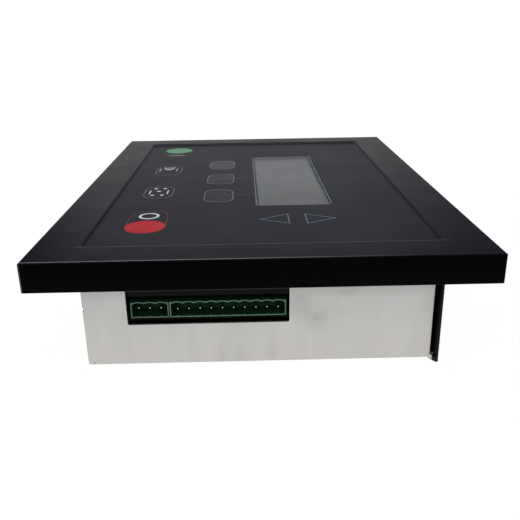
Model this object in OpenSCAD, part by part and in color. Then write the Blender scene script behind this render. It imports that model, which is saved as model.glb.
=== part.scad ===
// Panel-mounted air compressor controller.
// The keypad faces up, and the unit rests on the back plate of its rear housing.
// X runs along the short side of the panel and Y along the long side.
// The origin is on the back plate, under the middle of the panel.

/* [Front panel] */
// Short side of the panel
panel_w = 203; // [196:1:240]
// Long side of the panel
panel_l = 282; // [276:1:340]
// Height of the panel's rim
panel_rim = 13.4; // [12:0.2:18]
// Wall of the moulded panel
panel_wall = 2.5; // [2:0.1:3]
// Radius along the panel's top edge
panel_edge_r = 1.2; // [1:0.1:4]
// Radius of the panel's upright corners
panel_corner_r = 1; // [0.5:0.5:8]
// Distance between the mounting inserts across the short side
insert_spacing_x = 180; // [178:1:184]
// Distance between the mounting inserts along the long side
insert_spacing_y = 200; // [160:1:210]
// Radius of the tapped hole in a mounting insert
insert_hole_r = 1.65; // [1.2:0.05:2]
// Length of a mounting insert
insert_l = 8; // [6:0.5:9]

/* [Keypad] */
// Short side of the keypad film
overlay_w = 160; // [158:1:164]
// Long side of the keypad film
overlay_l = 244; // [240:1:250]
// Offset of the keypad film along the panel
overlay_y = 0.6; // [0:0.1:1]
// Depth from the panel's face down to the film
overlay_step = 1.2; // [0.6:0.1:2]
// Radius along the border's edge round the keypad
recess_edge_r = 0.8; // [0.2:0.1:1]
// Thickness of each film layer
film_t = 0.3; // [0.2:0.05:0.4]
// Diameter of the snap dome under a key
dome_d = 10; // [6:0.5:12]
// Row of the start, function and stop keys
key_row_x = -57.5; // [-60:0.5:-54]
// Row of the three keys beside the display
soft_key_x = -22.8; // [-25:0.1:-20]
// Distance between the keys beside the display
soft_key_pitch = 40.3; // [36:0.1:42]

/* [Display] */
// Short side of the display's window
window_w = 41; // [38:0.5:43]
// Long side of the display's window
window_l = 130; // [120:1:134]
// Place of the window across the panel
window_x = 18.2; // [16:0.1:20]
// Place of the window along the panel
window_y = 8; // [4:0.5:10]
// Height of the display's metal frame
bezel_h = 8; // [7:0.5:9]
// Sheet of the display's metal frame
bezel_t = 0.5; // [0.4:0.1:0.8]

/* [Rear housing] */
// Width of the housing with its side cover
housing_w = 161.5; // [159:0.5:162]
// Length of the housing
housing_l = 250; // [248:1:252]
// Depth of the housing behind the panel's rim
housing_h = 44; // [42:0.5:55]
// Offset of the housing across the panel
housing_x = -0.75; // [-1:0.05:0]
// Thickness of the housing's sheet
sheet_t = 1.2; // [1:0.1:1.5]
// Outer radius of the folds between the back plate and the walls
fold_r = 1.6; // [1.6:0.1:3]
// Outer radius of the upright corners between the walls
wall_corner_r = 0.8; // [0.5:0.1:1.5]
// Length of housing wall that is hidden inside the rim
wall_lap = 6; // [4:0.5:7]
// Thickness of the side cover's sheet
cover_t = 0.8; // [0.6:0.1:1]
// Length of side cover that stands proud of the housing's walls
cover_proud = 4.2; // [1:0.1:5]
// Slot between the housing's end walls and the side cover
cover_slot = 2.1; // [1:0.1:2.5]

/* [Boards] */
// Thickness of both boards
board_t = 1.6; // [1:0.1:2]
// Height of the main board above the back plate's outer face
board_z = 21.6; // [20:0.2:24]
// Width of the main board
board_w = 148; // [146:1:150]
// Length of the main board
board_l = 132; // [130:1:160]
// Clearance between pieces that fit together
fit_gap = 0.3; // [0.2:0.05:0.4]

/* [Terminals] */
// Pitch of the terminal pins
pitch = 5.08; // [5:0.01:5.2]
// Height of a terminal header
header_h = 8.57; // [8:0.01:9]
// Depth of a terminal header
header_l = 12; // [11:0.5:13]
// Place of the short header's middle across the panel
header_3_x = -51.55; // [-52:0.05:-51.5]
// Place of the long header's middle across the panel
header_10_x = -16.12; // [-16.2:0.01:-15]
// Left edge of the terminal notch
notch_x0 = -61.7; // [-64:0.1:-60.5]
// Width of the terminal notch
notch_w = 73.4; // [73:0.1:76]
// Height of the notch's lower edge above the back plate's outer face
notch_z = 20.5; // [19:0.1:21]

/* [Hidden] */
$fn = 48;

// Overrun that keeps cuts clear of the faces they pass
cut = 1;

// Levels of the panel, from its face down
face_z = housing_h + panel_rim;
film_top = face_z - overlay_step;
spacer_top = film_top - film_t;
circuit_top = spacer_top - film_t;
floor_top = circuit_top - film_t;
floor_under = floor_top - panel_wall;
border_under = face_z - panel_wall;

// Collar that the rear housing closes round
collar_wall = 2.2;
collar_drop = 10.2;
collar_z = housing_h - collar_drop;
housing_x0 = housing_x - housing_w / 2;
housing_x1 = housing_x + housing_w / 2;
cover_x0 = housing_x1 - cover_t;
wall_end_x = cover_x0 - cover_slot;
collar_x0 = housing_x0 + sheet_t + fit_gap;
collar_x1 = cover_x0 - fit_gap;
collar_y = housing_l / 2 - sheet_t - fit_gap;
wall_top = housing_h + wall_lap;

// Screws that hold the housing to the collar
m3_pilot_r = 1.25;
m3_thread_r = 1.2;
m3_hole_r = 1.7;
m3_head_r = 2.75;
m3_head_h = 1.8;
pilot_spare = 0.5;
housing_screw_l = 8;
housing_screw_drop = 4.5;
housing_screw_z = housing_h - housing_screw_drop;
side_screw_y = [-90, 0, 90];
end_screw_x = [-50, 50];
boss_w = 10;
boss_d = 6.5;

// Mounting inserts
boss_r = 5;
insert_r = 3;
insert_groove = 0.35;

// Keys, by the place of each one's middle
start_key = [key_row_x, 99.5];
stop_key = [key_row_x, -91.8];
arc_key = [key_row_x, 31.6];
dots_key = [key_row_x, -24.8];
soft_key_y = 5.4;
soft_keys = [for (i = [-1:1]) [soft_key_x, soft_key_y + i * soft_key_pitch]];
arrow_keys = [[7.2, -81.8], [29.6, -81.8]];
keys = concat([start_key, stop_key, arc_key, dots_key], soft_keys, arrow_keys);
dome_h = 0.25;
dome_t = 0.1;
dome_hole_gap = 0.5;
recess_r = 2.2;
film_gap = 0.2;
film_r = recess_r - film_gap;
window_r = 2;
pane_gap = 0.1;

// Keypad tail
tail_w = 16;
tail_x = -20;
tail_y = -60;
tail_slot_w = 1.6;
tail_socket_t = 5;
tail_socket_h = 6;
tail_grip = 4;
tail_gap = 0.05;

// Display module
bezel_w = 50;
bezel_l = 140;
bezel_r = 0.8;
view_w = 38;
view_l = 126.5;
glass_t = 2;
guide_gap = 0.5;
bezel_drop = 0.1;
board_r = 2;
display_board_w = 66;
display_board_l = 160;
bezel_top = floor_top - bezel_drop;
display_board_top = bezel_top - bezel_h;
display_board_z = display_board_top - board_t;
display_boss_x = 29.5;
display_boss_y = 75;
display_boss_r = 3;
display_screw_l = 6;

// Main board
board_top = board_z + board_t;
header_set_in = 1.7;
header_y = -housing_l / 2 + header_set_in;
board_set_in = 1;
board_y0 = header_y + board_set_in;
standoff_r = 3.2;
standoff_inset = 6.5;
board_screw_l = 6;
pin_w = 1;
pin_h_3_pole = 4.2;
pin_h_10_pole = 3.6;
pin_tail = 1.6;
pin_hole_r = 0.8;
pin_leg_gap = 0.6;
pin_leg_y = header_y + header_l + pin_leg_gap;

// Board parts, by the place of each one's middle
relay_n = 4;
relay_pitch = 21;
relay_gap = 8;
transformer_at = [-50, -38];
can_at = [[-64, -84], [-64, -68]];
chip_at = [40, -20];

// Folded sheet details
lug_h = 2.4;
lug_overlap = 0.5;
lug_gap = 0.3;
relief_x = 2.6;
relief_w = 0.8;
relief_h = 1.7;
seam_z = 27.6;
seam_h = 1.6;
seam_w = 0.6;
cover_lift = 0.1;
cover_tip_r = 0.6;
flange_w = 8;
flange_end = 8;
flange_y = [-80, 0, 80];
flange_nut_h = 2.4;
csk_r = 2.6;
csk_gap = 0.1;

// Ribbon cable, its sockets and its plugs
ribbon_w = 20.3;
ribbon_t = 0.9;
ribbon_sag = 3;
socket_w = 8.8;
socket_h = 8.5;
socket_floor = 2.5;
plug_w = 6.2;
plug_h = 9.4;
plug_gap = 0.1;
plug_top = socket_floor + plug_gap + plug_h;
ribbon_x = [2, 46];
ribbon_y = -54;

// Rounded plate with exact corner arcs, centred on x and y
module round_plate(w, l, h, r) {
    linear_extrude(h) {
        square([w - 2 * r, l], center = true);
        square([w, l - 2 * r], center = true);
        for (x = [-1, 1], y = [-1, 1]) {
            translate([x * (w / 2 - r), y * (l / 2 - r)]) circle(r);
        }
    }
}

// Side profile whose two corners at the top are round
module round_top_profile(w, h, r) {
    translate([-w / 2, 0]) square([w, h - r]);
    translate([-w / 2 + r, 0]) square([w - 2 * r, h]);
    for (x = [-1, 1]) {
        translate([x * (w / 2 - r), h - r]) circle(r);
    }
}

// Side profile whose two corners at the bottom are round
module round_bottom_profile(w, h, r) {
    translate([0, h]) mirror([0, 1]) round_top_profile(w, h, r);
}

// Extrudes a profile drawn in x and z along the whole length of y
module along_y(l) {
    translate([0, l / 2, 0]) rotate([90, 0, 0]) linear_extrude(l) children();
}

// Extrudes a profile drawn in y and z along the whole length of x
module along_x(l) {
    rotate([0, 0, 90]) along_y(l) children();
}

// Box between two corners
module box(a, b) {
    translate(a) cube(b - a);
}

// Outside of the panel, with its rounded face edges
module panel_outline() {
    translate([0, 0, housing_h]) intersection() {
        round_plate(panel_w, panel_l, panel_rim, panel_corner_r);
        along_y(panel_l + cut) round_top_profile(panel_w, panel_rim, panel_edge_r);
        along_x(panel_w + cut) round_top_profile(panel_l, panel_rim, panel_edge_r);
    }
}

// Hollow under the panel's face
module panel_hollow() {
    hollow_h = panel_rim - panel_wall;
    translate([0, 0, housing_h - cut])
        round_plate(panel_w - 2 * panel_wall, panel_l - 2 * panel_wall, hollow_h + cut, panel_corner_r / 2);
}

// Plate under the keypad, lower than the border
module keypad_plate() {
    plate_h = border_under - floor_under + cut / 2;
    translate([0, overlay_y, floor_under])
        round_plate(overlay_w + 2 * panel_wall, overlay_l + 2 * panel_wall, plate_h, recess_r);
}

// Collar that stands down from the keypad plate
module collar() {
    collar_w = collar_x1 - collar_x0;
    collar_r = 2;
    translate([(collar_x0 + collar_x1) / 2, 0, collar_z]) difference() {
        round_plate(collar_w, 2 * collar_y, floor_under - collar_z + cut / 2, collar_r);
        translate([0, 0, -cut])
            round_plate(collar_w - 2 * collar_wall, 2 * (collar_y - collar_wall), face_z, collar_r / 2);
    }
}

// Pads inside the collar that take the housing's screws
module collar_pads() {
    for (y = side_screw_y) {
        box([collar_x0 + collar_wall / 2, y - boss_w / 2, collar_z],
            [collar_x0 + boss_d, y + boss_w / 2, floor_under + cut / 2]);
        box([collar_x1 - boss_d, y - boss_w / 2, collar_z],
            [collar_x1 - collar_wall / 2, y + boss_w / 2, floor_under + cut / 2]);
    }
    for (x = end_screw_x) {
        box([x - boss_w / 2, collar_y - boss_d, collar_z],
            [x + boss_w / 2, collar_y - collar_wall / 2, floor_under + cut / 2]);
    }
}

// Puts a shape, drawn along -z from its head, at each housing screw
module at_housing_screws() {
    for (y = side_screw_y) {
        translate([housing_x0, y, housing_screw_z]) rotate([0, -90, 0]) children();
        translate([housing_x1, y, housing_screw_z]) rotate([0, 90, 0]) children();
    }
    for (x = end_screw_x) {
        translate([x, housing_l / 2, housing_screw_z]) rotate([-90, 0, 0]) children();
    }
}

// Puts a shape at each mounting insert, at the level of the rim
module at_inserts() {
    for (x = [-1, 1], y = [-1, 1]) {
        translate([x * insert_spacing_x / 2, y * insert_spacing_y / 2, housing_h]) children();
    }
}

// Puts a shape at each corner boss of the display board
module at_display_bosses(z) {
    for (x = [-1, 1], y = [-1, 1]) {
        translate([window_x + x * display_boss_x, window_y + y * display_boss_y, z]) children();
    }
}

// Ribs that stiffen the border, between the rim and the keypad plate
module border_ribs() {
    rib_t = 1.8;
    rib_gap = 1;
    rib_z = wall_top + rib_gap;
    side_x = panel_w / 2 - panel_wall;
    end_y = panel_l / 2 - panel_wall;
    for (s = [-1, 1]) {
        for (y = [-120:40:120]) {
            box([min(s * side_x, s * (overlay_w / 2 + 1)), y - rib_t / 2, rib_z],
                [max(s * side_x, s * (overlay_w / 2 + 1)), y + rib_t / 2, border_under + cut / 2]);
        }
        for (x = [-60:30:60]) {
            box([x - rib_t / 2, min(s * end_y, s * (overlay_l / 2 + 1)), rib_z],
                [x + rib_t / 2, max(s * end_y, s * (overlay_l / 2 + 1)), border_under + cut / 2]);
        }
    }
}

// Recess of the keypad, whose upper edge is round on all four sides and at the corners
module keypad_recess() {
    side_x = overlay_w / 2;
    end_y = overlay_l / 2;
    translate([0, overlay_y, 0]) {
        translate([0, 0, floor_top]) round_plate(overlay_w, overlay_l, face_z, recess_r);
        translate([0, 0, face_z]) {
            for (s = [0, 1]) {
                mirror([s, 0, 0]) translate([side_x, 0, 0]) along_y(overlay_l - 2 * recess_r) edge_cut();
                mirror([0, s, 0]) translate([0, end_y, 0]) along_x(overlay_w - 2 * recess_r) edge_cut();
            }
            for (x = [-1, 1], y = [-1, 1]) {
                translate([x * (side_x - recess_r), y * (end_y - recess_r), 0])
                    rotate_extrude() translate([recess_r, 0]) edge_cut();
            }
        }
    }
}

// Section that leaves a round edge beside x = 0, under z = 0
module edge_cut() {
    difference() {
        translate([-cut, -recess_edge_r]) square([recess_edge_r + cut, recess_edge_r + cut]);
        translate([recess_edge_r, -recess_edge_r]) circle(recess_edge_r);
    }
}

module front_panel() {
    color([0.13, 0.135, 0.15]) difference() {
        union() {
            difference() {
                panel_outline();
                panel_hollow();
            }
            keypad_plate();
            collar();
            collar_pads();
            border_ribs();
            at_inserts() cylinder(h = border_under - housing_h + cut / 2, r = boss_r);
            at_display_bosses(display_board_top)
                cylinder(h = floor_under - display_board_top + cut / 2, r = display_boss_r);
        }
        keypad_recess();
        translate([window_x, window_y, collar_z])
            round_plate(bezel_w + 2 * fit_gap, bezel_l + 2 * fit_gap, face_z, bezel_r + fit_gap);
        translate([tail_x, tail_y, collar_z])
            round_plate(tail_slot_w, tail_w + 2, face_z, tail_slot_w / 2 - 0.1);
        at_inserts() translate([0, 0, -cut]) cylinder(h = insert_l + pilot_spare + cut, r = insert_r);
        at_housing_screws() translate([0, 0, -housing_screw_l - pilot_spare])
            cylinder(h = housing_screw_l + cut, r = m3_pilot_r);
        at_display_bosses(display_board_top - cut)
            cylinder(h = display_screw_l - board_t + pilot_spare + cut, r = m3_pilot_r);
    }
}

// Knurled body with two grooves and a tapped hole
module panel_inserts() {
    groove_h = 0.8;
    color([0.78, 0.62, 0.3]) at_inserts() difference() {
        cylinder(h = insert_l, r = insert_r);
        translate([0, 0, -cut]) cylinder(h = insert_l + 2 * cut, r = insert_hole_r);
        for (z = [insert_l * 0.3, insert_l * 0.6]) {
            translate([0, 0, z]) difference() {
                cylinder(h = groove_h, r = insert_r + cut);
                translate([0, 0, -cut]) cylinder(h = groove_h + 2 * cut, r = insert_r - insert_groove);
            }
        }
    }
}

// One film layer of the keypad, open at the display
module film_layer(z) {
    difference() {
        translate([0, overlay_y, z])
            round_plate(overlay_w - 2 * film_gap, overlay_l - 2 * film_gap, film_t, film_r);
        translate([window_x, window_y, z - cut])
            round_plate(window_w, window_l, film_t + 2 * cut, window_r);
    }
}

module keypad_overlay() {
    color([0.24, 0.245, 0.26]) film_layer(spacer_top);
}

module overlay_spacer() {
    hole_r = dome_d / 2 + dome_hole_gap;
    color([0.85, 0.85, 0.8]) difference() {
        film_layer(circuit_top);
        for (k = keys) {
            translate([k[0], k[1], circuit_top - cut]) cylinder(h = film_t + 2 * cut, r = hole_r);
        }
    }
}

// Sprung disc with the section of a shallow arch
module snap_domes() {
    steps = 5;
    dome_r = dome_d / 2;
    arch = [for (i = [0:steps]) [dome_r * i / steps, (dome_h - dome_t) * cos(90 * i / steps)]];
    back = [for (i = [steps:-1:0]) [arch[i][0], arch[i][1] + dome_t]];
    color([0.75, 0.75, 0.77]) for (k = keys) {
        translate([k[0], k[1], circuit_top]) rotate_extrude() polygon(concat(arch, back));
    }
}

module membrane_circuit() {
    color([0.8, 0.78, 0.65]) {
        film_layer(floor_top);
        box([tail_x - film_t / 2, tail_y - tail_w / 2, board_top + tail_socket_h - tail_grip],
            [tail_x + film_t / 2, tail_y + tail_w / 2, floor_top + film_t / 2]);
    }
}

// Socket on the main board that grips the keypad's tail
module tail_socket() {
    end_w = 3;
    dimple = [3, 1.2, 1];
    slot_x = film_t / 2 + tail_gap;
    slot_y = tail_w / 2 + tail_gap;
    top = board_top + tail_socket_h;
    color([0.93, 0.92, 0.88]) difference() {
        translate([tail_x, tail_y, board_top])
            round_plate(tail_socket_t, tail_w + 2 * end_w, tail_socket_h, 0.6);
        box([tail_x - slot_x, tail_y - slot_y, top - tail_grip - tail_gap],
            [tail_x + slot_x, tail_y + slot_y, top + cut]);
        for (s = [-1, 1]) {
            translate([tail_x, tail_y + s * (tail_w / 2 + end_w * 0.6), top - dimple[2]])
                round_plate(dimple[0], dimple[1], dimple[2] + cut, 0.3);
        }
    }
}

// Clear pane that closes the window, level with the film
module display_window() {
    pane_h = film_top - floor_top;
    color([0.75, 0.8, 0.82, 0.35]) translate([window_x, window_y, floor_top])
        round_plate(window_w - 2 * pane_gap, window_l - 2 * pane_gap, pane_h, window_r - pane_gap);
}

// Folded metal frame, open at the view and towards its board
module lcd_bezel() {
    inner_w = bezel_w - 2 * bezel_t;
    inner_l = bezel_l - 2 * bezel_t;
    view_r = 1.2;
    color([0.1, 0.1, 0.11]) translate([window_x, window_y, display_board_top]) difference() {
        round_plate(bezel_w, bezel_l, bezel_h, bezel_r);
        translate([0, 0, -cut]) round_plate(inner_w, inner_l, bezel_h - bezel_t + cut, bezel_r / 2);
        translate([0, 0, bezel_h - bezel_t - cut]) round_plate(view_w, view_l, bezel_t + 2 * cut, view_r);
    }
}

module lcd_glass() {
    glass_w = bezel_w - 2 * bezel_t - fit_gap;
    glass_l = bezel_l - 2 * bezel_t - fit_gap;
    color([0.44, 0.46, 0.47]) translate([window_x, window_y, bezel_top - bezel_t - glass_t])
        round_plate(glass_w, glass_l, glass_t, bezel_r / 2);
}

// Light guide between the glass and the display board
module backlight() {
    guide_w = bezel_w - 2 * bezel_t - 2 * guide_gap;
    guide_l = bezel_l - 2 * bezel_t - 2 * guide_gap;
    guide_h = bezel_h - bezel_t - glass_t;
    color([0.92, 0.93, 0.9]) translate([window_x, window_y, display_board_top])
        round_plate(guide_w, guide_l, guide_h, bezel_r / 2);
}

module display_board() {
    color([0.08, 0.3, 0.16]) difference() {
        translate([window_x, window_y, display_board_z])
            round_plate(display_board_w, display_board_l, board_t, board_r);
        at_display_bosses(display_board_z - cut) cylinder(h = board_t + 2 * cut, r = m3_hole_r);
    }
}

// Pan head screw that points along +z, with its head's seat at z = 0
module pan_screw(l) {
    crown_r = 3.6;
    crown_z = 3.4;
    slot = [3, 0.6, 1];
    translate([0, 0, -m3_head_h]) difference() {
        intersection() {
            cylinder(h = m3_head_h, r = m3_head_r);
            translate([0, 0, crown_z]) sphere(crown_r);
        }
        for (a = [0, 90]) {
            rotate([0, 0, a])
                box([-slot[0] / 2, -slot[1] / 2, -cut], [slot[0] / 2, slot[1] / 2, slot[2]]);
        }
    }
    translate([0, 0, -m3_head_h / 2]) cylinder(h = l + m3_head_h / 2, r = m3_thread_r);
}

module display_screws() {
    color([0.72, 0.72, 0.74]) at_display_bosses(display_board_z) pan_screw(display_screw_l);
}

// Puts a shape at each corner of the main board
module at_standoffs(z) {
    for (x = [-1, 1], y = [standoff_inset, board_l - standoff_inset]) {
        translate([x * (board_w / 2 - standoff_inset), board_y0 + y, z]) children();
    }
}

// Places of the terminal pins of one header across the board
function pin_xs(n, x) = [for (i = [0:n - 1]) x + (i - (n - 1) / 2) * pitch];

module main_board() {
    color([0.08, 0.3, 0.16]) difference() {
        translate([0, board_y0 + board_l / 2, board_z]) round_plate(board_w, board_l, board_t, board_r);
        at_standoffs(board_z - cut) cylinder(h = board_t + 2 * cut, r = m3_hole_r);
        for (x = concat(pin_xs(3, header_3_x), pin_xs(10, header_10_x))) {
            translate([x, pin_leg_y, board_z - cut]) cylinder(h = board_t + 2 * cut, r = pin_hole_r);
        }
    }
}

// Hexagonal spacers with a tapped hole right through
module board_standoffs() {
    color([0.78, 0.62, 0.3]) at_standoffs(sheet_t) difference() {
        cylinder(h = board_z - sheet_t, r = standoff_r, $fn = 6);
        translate([0, 0, -cut]) cylinder(h = board_z + cut, r = m3_pilot_r);
    }
}

module board_screws() {
    color([0.72, 0.72, 0.74]) at_standoffs(board_top) mirror([0, 0, 1]) pan_screw(board_screw_l);
}

// Shrouded header: each pole has its own arch over the pin and a small rail under it.
// The roof slopes down to a thin lip at the mouth.
module header(n, x, pin_h) {
    roof = 1.2;
    floor_wall = 0.5;
    end_wall = 0.5;
    arch_r = 5;
    bevel_h = 0.8;
    bevel_l = 1.6;
    back_wall = 3.2;
    cavity_d = header_l - back_wall;
    body_w = (n - 1) * pitch + 7;
    cavity_w = body_w - 2 * end_wall;
    rail_r = 0.5;
    rail_set_in = 0.2;
    color([0.35, 0.55, 0.45]) translate([0, header_y, board_top]) difference() {
        translate([x - body_w / 2, 0, 0]) cube([body_w, header_l, header_h]);
        difference() {
            translate([0, cavity_d, 0]) rotate([90, 0, 0]) linear_extrude(cavity_d + cut) intersection() {
                translate([x - cavity_w / 2, floor_wall]) square([cavity_w, header_h]);
                for (px = pin_xs(n, x)) {
                    translate([px, header_h - roof - arch_r]) circle(arch_r);
                }
            }
            for (px = pin_xs(n, x)) {
                translate([px, cavity_d, floor_wall]) rotate([90, 0, 0])
                    cylinder(h = cavity_d - rail_set_in, r = rail_r);
            }
        }
        for (px = pin_xs(n, x)) {
            translate([px - pin_w / 2, cavity_d - cut, pin_h - pin_w / 2]) cube([pin_w, header_l, pin_w]);
        }
        translate([x, 0, header_h]) along_x(body_w + cut)
            polygon([[-cut, -bevel_h * (1 + cut / bevel_l)], [bevel_l * (1 + cut / bevel_h), cut],
                [-cut, cut]]);
    }
}

// Bent square pins with a pointed tip, from the header's mouth down through the board
module header_pins(n, x, pin_h) {
    pin_z = board_top + pin_h;
    tip_y = header_y + 1.4;
    tip_l = 1.1;
    tip_w = 0.4;
    leg_end = pin_leg_y + pin_w / 2;
    color([0.8, 0.8, 0.78]) for (px = pin_xs(n, x)) {
        translate([px, 0, 0]) {
            intersection() {
                translate([0, 0, pin_z - pin_w]) linear_extrude(2 * pin_w)
                    polygon([[-tip_w / 2, tip_y], [tip_w / 2, tip_y], [pin_w / 2, tip_y + tip_l],
                        [pin_w / 2, leg_end], [-pin_w / 2, leg_end],
                        [-pin_w / 2, tip_y + tip_l]]);
                rotate([90, 0, 90]) translate([0, 0, -pin_w]) linear_extrude(2 * pin_w)
                    polygon([[tip_y, pin_z - tip_w / 2], [tip_y + tip_l, pin_z - pin_w / 2],
                        [leg_end, pin_z - pin_w / 2], [leg_end, pin_z + pin_w / 2],
                        [tip_y + tip_l, pin_z + pin_w / 2], [tip_y, pin_z + tip_w / 2]]);
            }
            box([-pin_w / 2, pin_leg_y - pin_w / 2, board_z - pin_tail], [pin_w / 2, leg_end, pin_z]);
        }
    }
}

module header_3_pole() {
    header(3, header_3_x, pin_h_3_pole);
}

module header_3_pole_pins() {
    header_pins(3, header_3_x, pin_h_3_pole);
}

module header_10_pole() {
    header(10, header_10_x, pin_h_10_pole);
}

module header_10_pole_pins() {
    header_pins(10, header_10_x, pin_h_10_pole);
}

// Sealed relays in a row behind the long header
module relays() {
    relay = [19, 15.5, 15.6];
    relay_r = 0.6;
    relay_y = header_y + header_l + relay_gap + relay[1] / 2;
    color([0.12, 0.22, 0.42]) for (i = [0:relay_n - 1]) {
        translate([header_10_x + (i - 1) * relay_pitch, relay_y, board_top])
            round_plate(relay[0], relay[1], relay[2], relay_r);
    }
}

// Potted transformer with a bobbin step round its top
module transformer() {
    size = [38, 44, 20];
    rim = 1.5;
    color([0.16, 0.17, 0.2]) translate([transformer_at[0], transformer_at[1], board_top]) {
        round_plate(size[0], size[1], size[2] - rim, rim);
        translate([0, 0, size[2] - 2 * rim]) round_plate(size[0] - 2 * rim, size[1] - 2 * rim, 2 * rim, rim);
    }
}

// Can capacitors with a crimped neck near the foot
module capacitors() {
    can_r = 6.3;
    can_h = 18;
    neck_z = 2.2;
    neck_r = 0.8;
    color([0.15, 0.2, 0.35]) for (at = can_at) {
        translate([at[0], at[1], board_top]) difference() {
            cylinder(h = can_h, r = can_r);
            translate([0, 0, neck_z]) rotate_extrude() translate([can_r + neck_r / 3, 0]) circle(neck_r);
        }
    }
}

// Square chip with leads along all four sides
module controller_chip() {
    chip = [14, 14, 1.4];
    chip_lift = 0.15;
    chip_r = 0.3;
    lead_n = 11;
    lead_pitch = 1;
    lead = [1.4, 0.4, 0.4];
    lead_in = 0.2;
    color([0.1, 0.1, 0.11]) translate([chip_at[0], chip_at[1], board_top]) {
        translate([0, 0, chip_lift]) round_plate(chip[0], chip[1], chip[2], chip_r);
        for (a = [0:90:270], i = [0:lead_n - 1]) {
            rotate([0, 0, a])
                translate([chip[0] / 2 - lead_in, (i - (lead_n - 1) / 2) * lead_pitch - lead[1] / 2, 0])
                    cube(lead);
        }
    }
}

// Puts a shape at each end of the ribbon cable: under the display board and on the main board
module at_ribbon_ends() {
    translate([ribbon_x[0], ribbon_y, display_board_z]) mirror([0, 0, 1]) children();
    translate([ribbon_x[1], ribbon_y, board_top]) children();
}

// Box sockets of the ribbon cable
module ribbon_sockets() {
    wall = 1;
    socket_l = ribbon_w + 7;
    socket_r = 0.4;
    color([0.13, 0.13, 0.14]) at_ribbon_ends() difference() {
        round_plate(socket_w, socket_l, socket_h, socket_r);
        translate([0, 0, socket_floor])
            round_plate(socket_w - 2 * wall, socket_l - 2 * wall, socket_h, socket_r);
    }
}

// Plugs that sit in the sockets and hold the cable's ends
module ribbon_plugs() {
    plug_l = ribbon_w + 4.4;
    plug_r = 0.4;
    color([0.2, 0.2, 0.21]) at_ribbon_ends()
        translate([0, 0, socket_floor + plug_gap]) round_plate(plug_w, plug_l, plug_h, plug_r);
}

// Flat cable that hangs in a gentle curve from plug to plug
module ribbon_cable() {
    steps = 20;
    grip = 1.2;
    x0 = ribbon_x[0] + plug_w / 2;
    x1 = ribbon_x[1] - plug_w / 2;
    z0 = display_board_z - plug_top + grip;
    z1 = board_top + plug_top - grip;
    route = [for (i = [0:steps]) let (u = i / steps)
        [x0 + (x1 - x0) * u, z0 + (z1 - z0) * (1 - cos(180 * u)) / 2 - ribbon_sag * sin(180 * u)]];
    top = [for (p = route) [p[0], p[1] + ribbon_t / 2]];
    under = [for (i = [steps:-1:0]) [route[i][0], route[i][1] - ribbon_t / 2]];
    color([0.6, 0.6, 0.62]) translate([0, ribbon_y, 0]) along_y(ribbon_w) polygon(concat(top, under));
}

// Solid with the housing's outline, open side at +x, grown inwards by t
module housing_block(t) {
    block_l = housing_l - 2 * t;
    least_r = 0.3;
    r = max(fold_r - t, least_r);
    left = housing_x0 + t;
    right = cover_x0 + (t > 0 ? cut : 0);
    translate([0, 0, t]) intersection() {
        translate([(left + right) / 2, 0, 0])
            along_x(right - left) round_bottom_profile(block_l, wall_top, r);
        translate([left + panel_w / 2, 0, 0])
            along_y(block_l) round_bottom_profile(panel_w, wall_top, r);
        translate([left + panel_w / 2, 0, 0])
            round_plate(panel_w, block_l, wall_top, max(wall_corner_r - t, least_r));
    }
}

// Triangular lug that closes the foot of the slot at an end wall
module slot_lug(side) {
    y0 = side * housing_l / 2;
    x0 = wall_end_x - lug_overlap;
    linear_extrude(lug_h) polygon([[x0, y0], [cover_x0, y0 + side * (cover_proud - lug_gap)],
        [cover_x0, y0 - side * sheet_t], [x0, y0 - side * sheet_t]]);
}

// Gaps that folding leaves at the left corners: a relief beside the bend and an open stretch of the seam
module corner_gaps() {
    relief_x0 = housing_x0 + relief_x;
    for (side = [-1, 1]) {
        y0 = side * (housing_l / 2 - sheet_t / 2);
        box([relief_x0, y0 - sheet_t, -cut], [relief_x0 + relief_w, y0 + sheet_t, relief_h]);
        box([housing_x0 - seam_w, y0 - sheet_t, seam_z],
            [housing_x0 + seam_w, y0 + sheet_t, seam_z + seam_h]);
    }
}

// Notch in the near wall that leaves the terminals open, with small radii at its foot
module terminal_notch() {
    notch_r = 0.8;
    notch_h = wall_top - notch_z + notch_r + cut;
    translate([notch_x0 + notch_w / 2, -housing_l / 2, notch_z])
        along_y(2 * (sheet_t + cut)) round_bottom_profile(notch_w, notch_h, notch_r);
}

// Folded tray: back plate, left wall and two end walls, with the terminal notch
module rear_housing() {
    color([0.74, 0.735, 0.73]) difference() {
        union() {
            difference() {
                intersection() {
                    housing_block(0);
                    box([housing_x0, -housing_l / 2, 0], [cover_x0, housing_l / 2, wall_top]);
                }
                housing_block(sheet_t);
                for (side = [-1, 1]) {
                    translate([wall_end_x, side * housing_l / 2 - 2 * sheet_t, sheet_t])
                        cube([2 * cover_slot, 4 * sheet_t, wall_top]);
                }
            }
            slot_lug(-1);
            slot_lug(1);
        }
        terminal_notch();
        corner_gaps();
        at_standoffs(0) csk_hole();
        at_flange_screws(0) csk_hole();
        at_housing_screws() translate([0, 0, -2 * sheet_t]) cylinder(h = 3 * sheet_t, r = m3_hole_r);
    }
}

// Puts a shape at each screw of the side cover's bottom flange
module at_flange_screws(z) {
    for (y = flange_y) {
        translate([cover_x0 - flange_w / 2, y, z]) children();
    }
}

// Countersunk hole through the back plate
module csk_hole() {
    translate([0, 0, -cut]) cylinder(h = sheet_t + 2 * cut, r = m3_hole_r);
    translate([0, 0, -0.01]) cylinder(h = sheet_t, r1 = csk_r + csk_gap, r2 = m3_thread_r + 3 * csk_gap);
}

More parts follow.
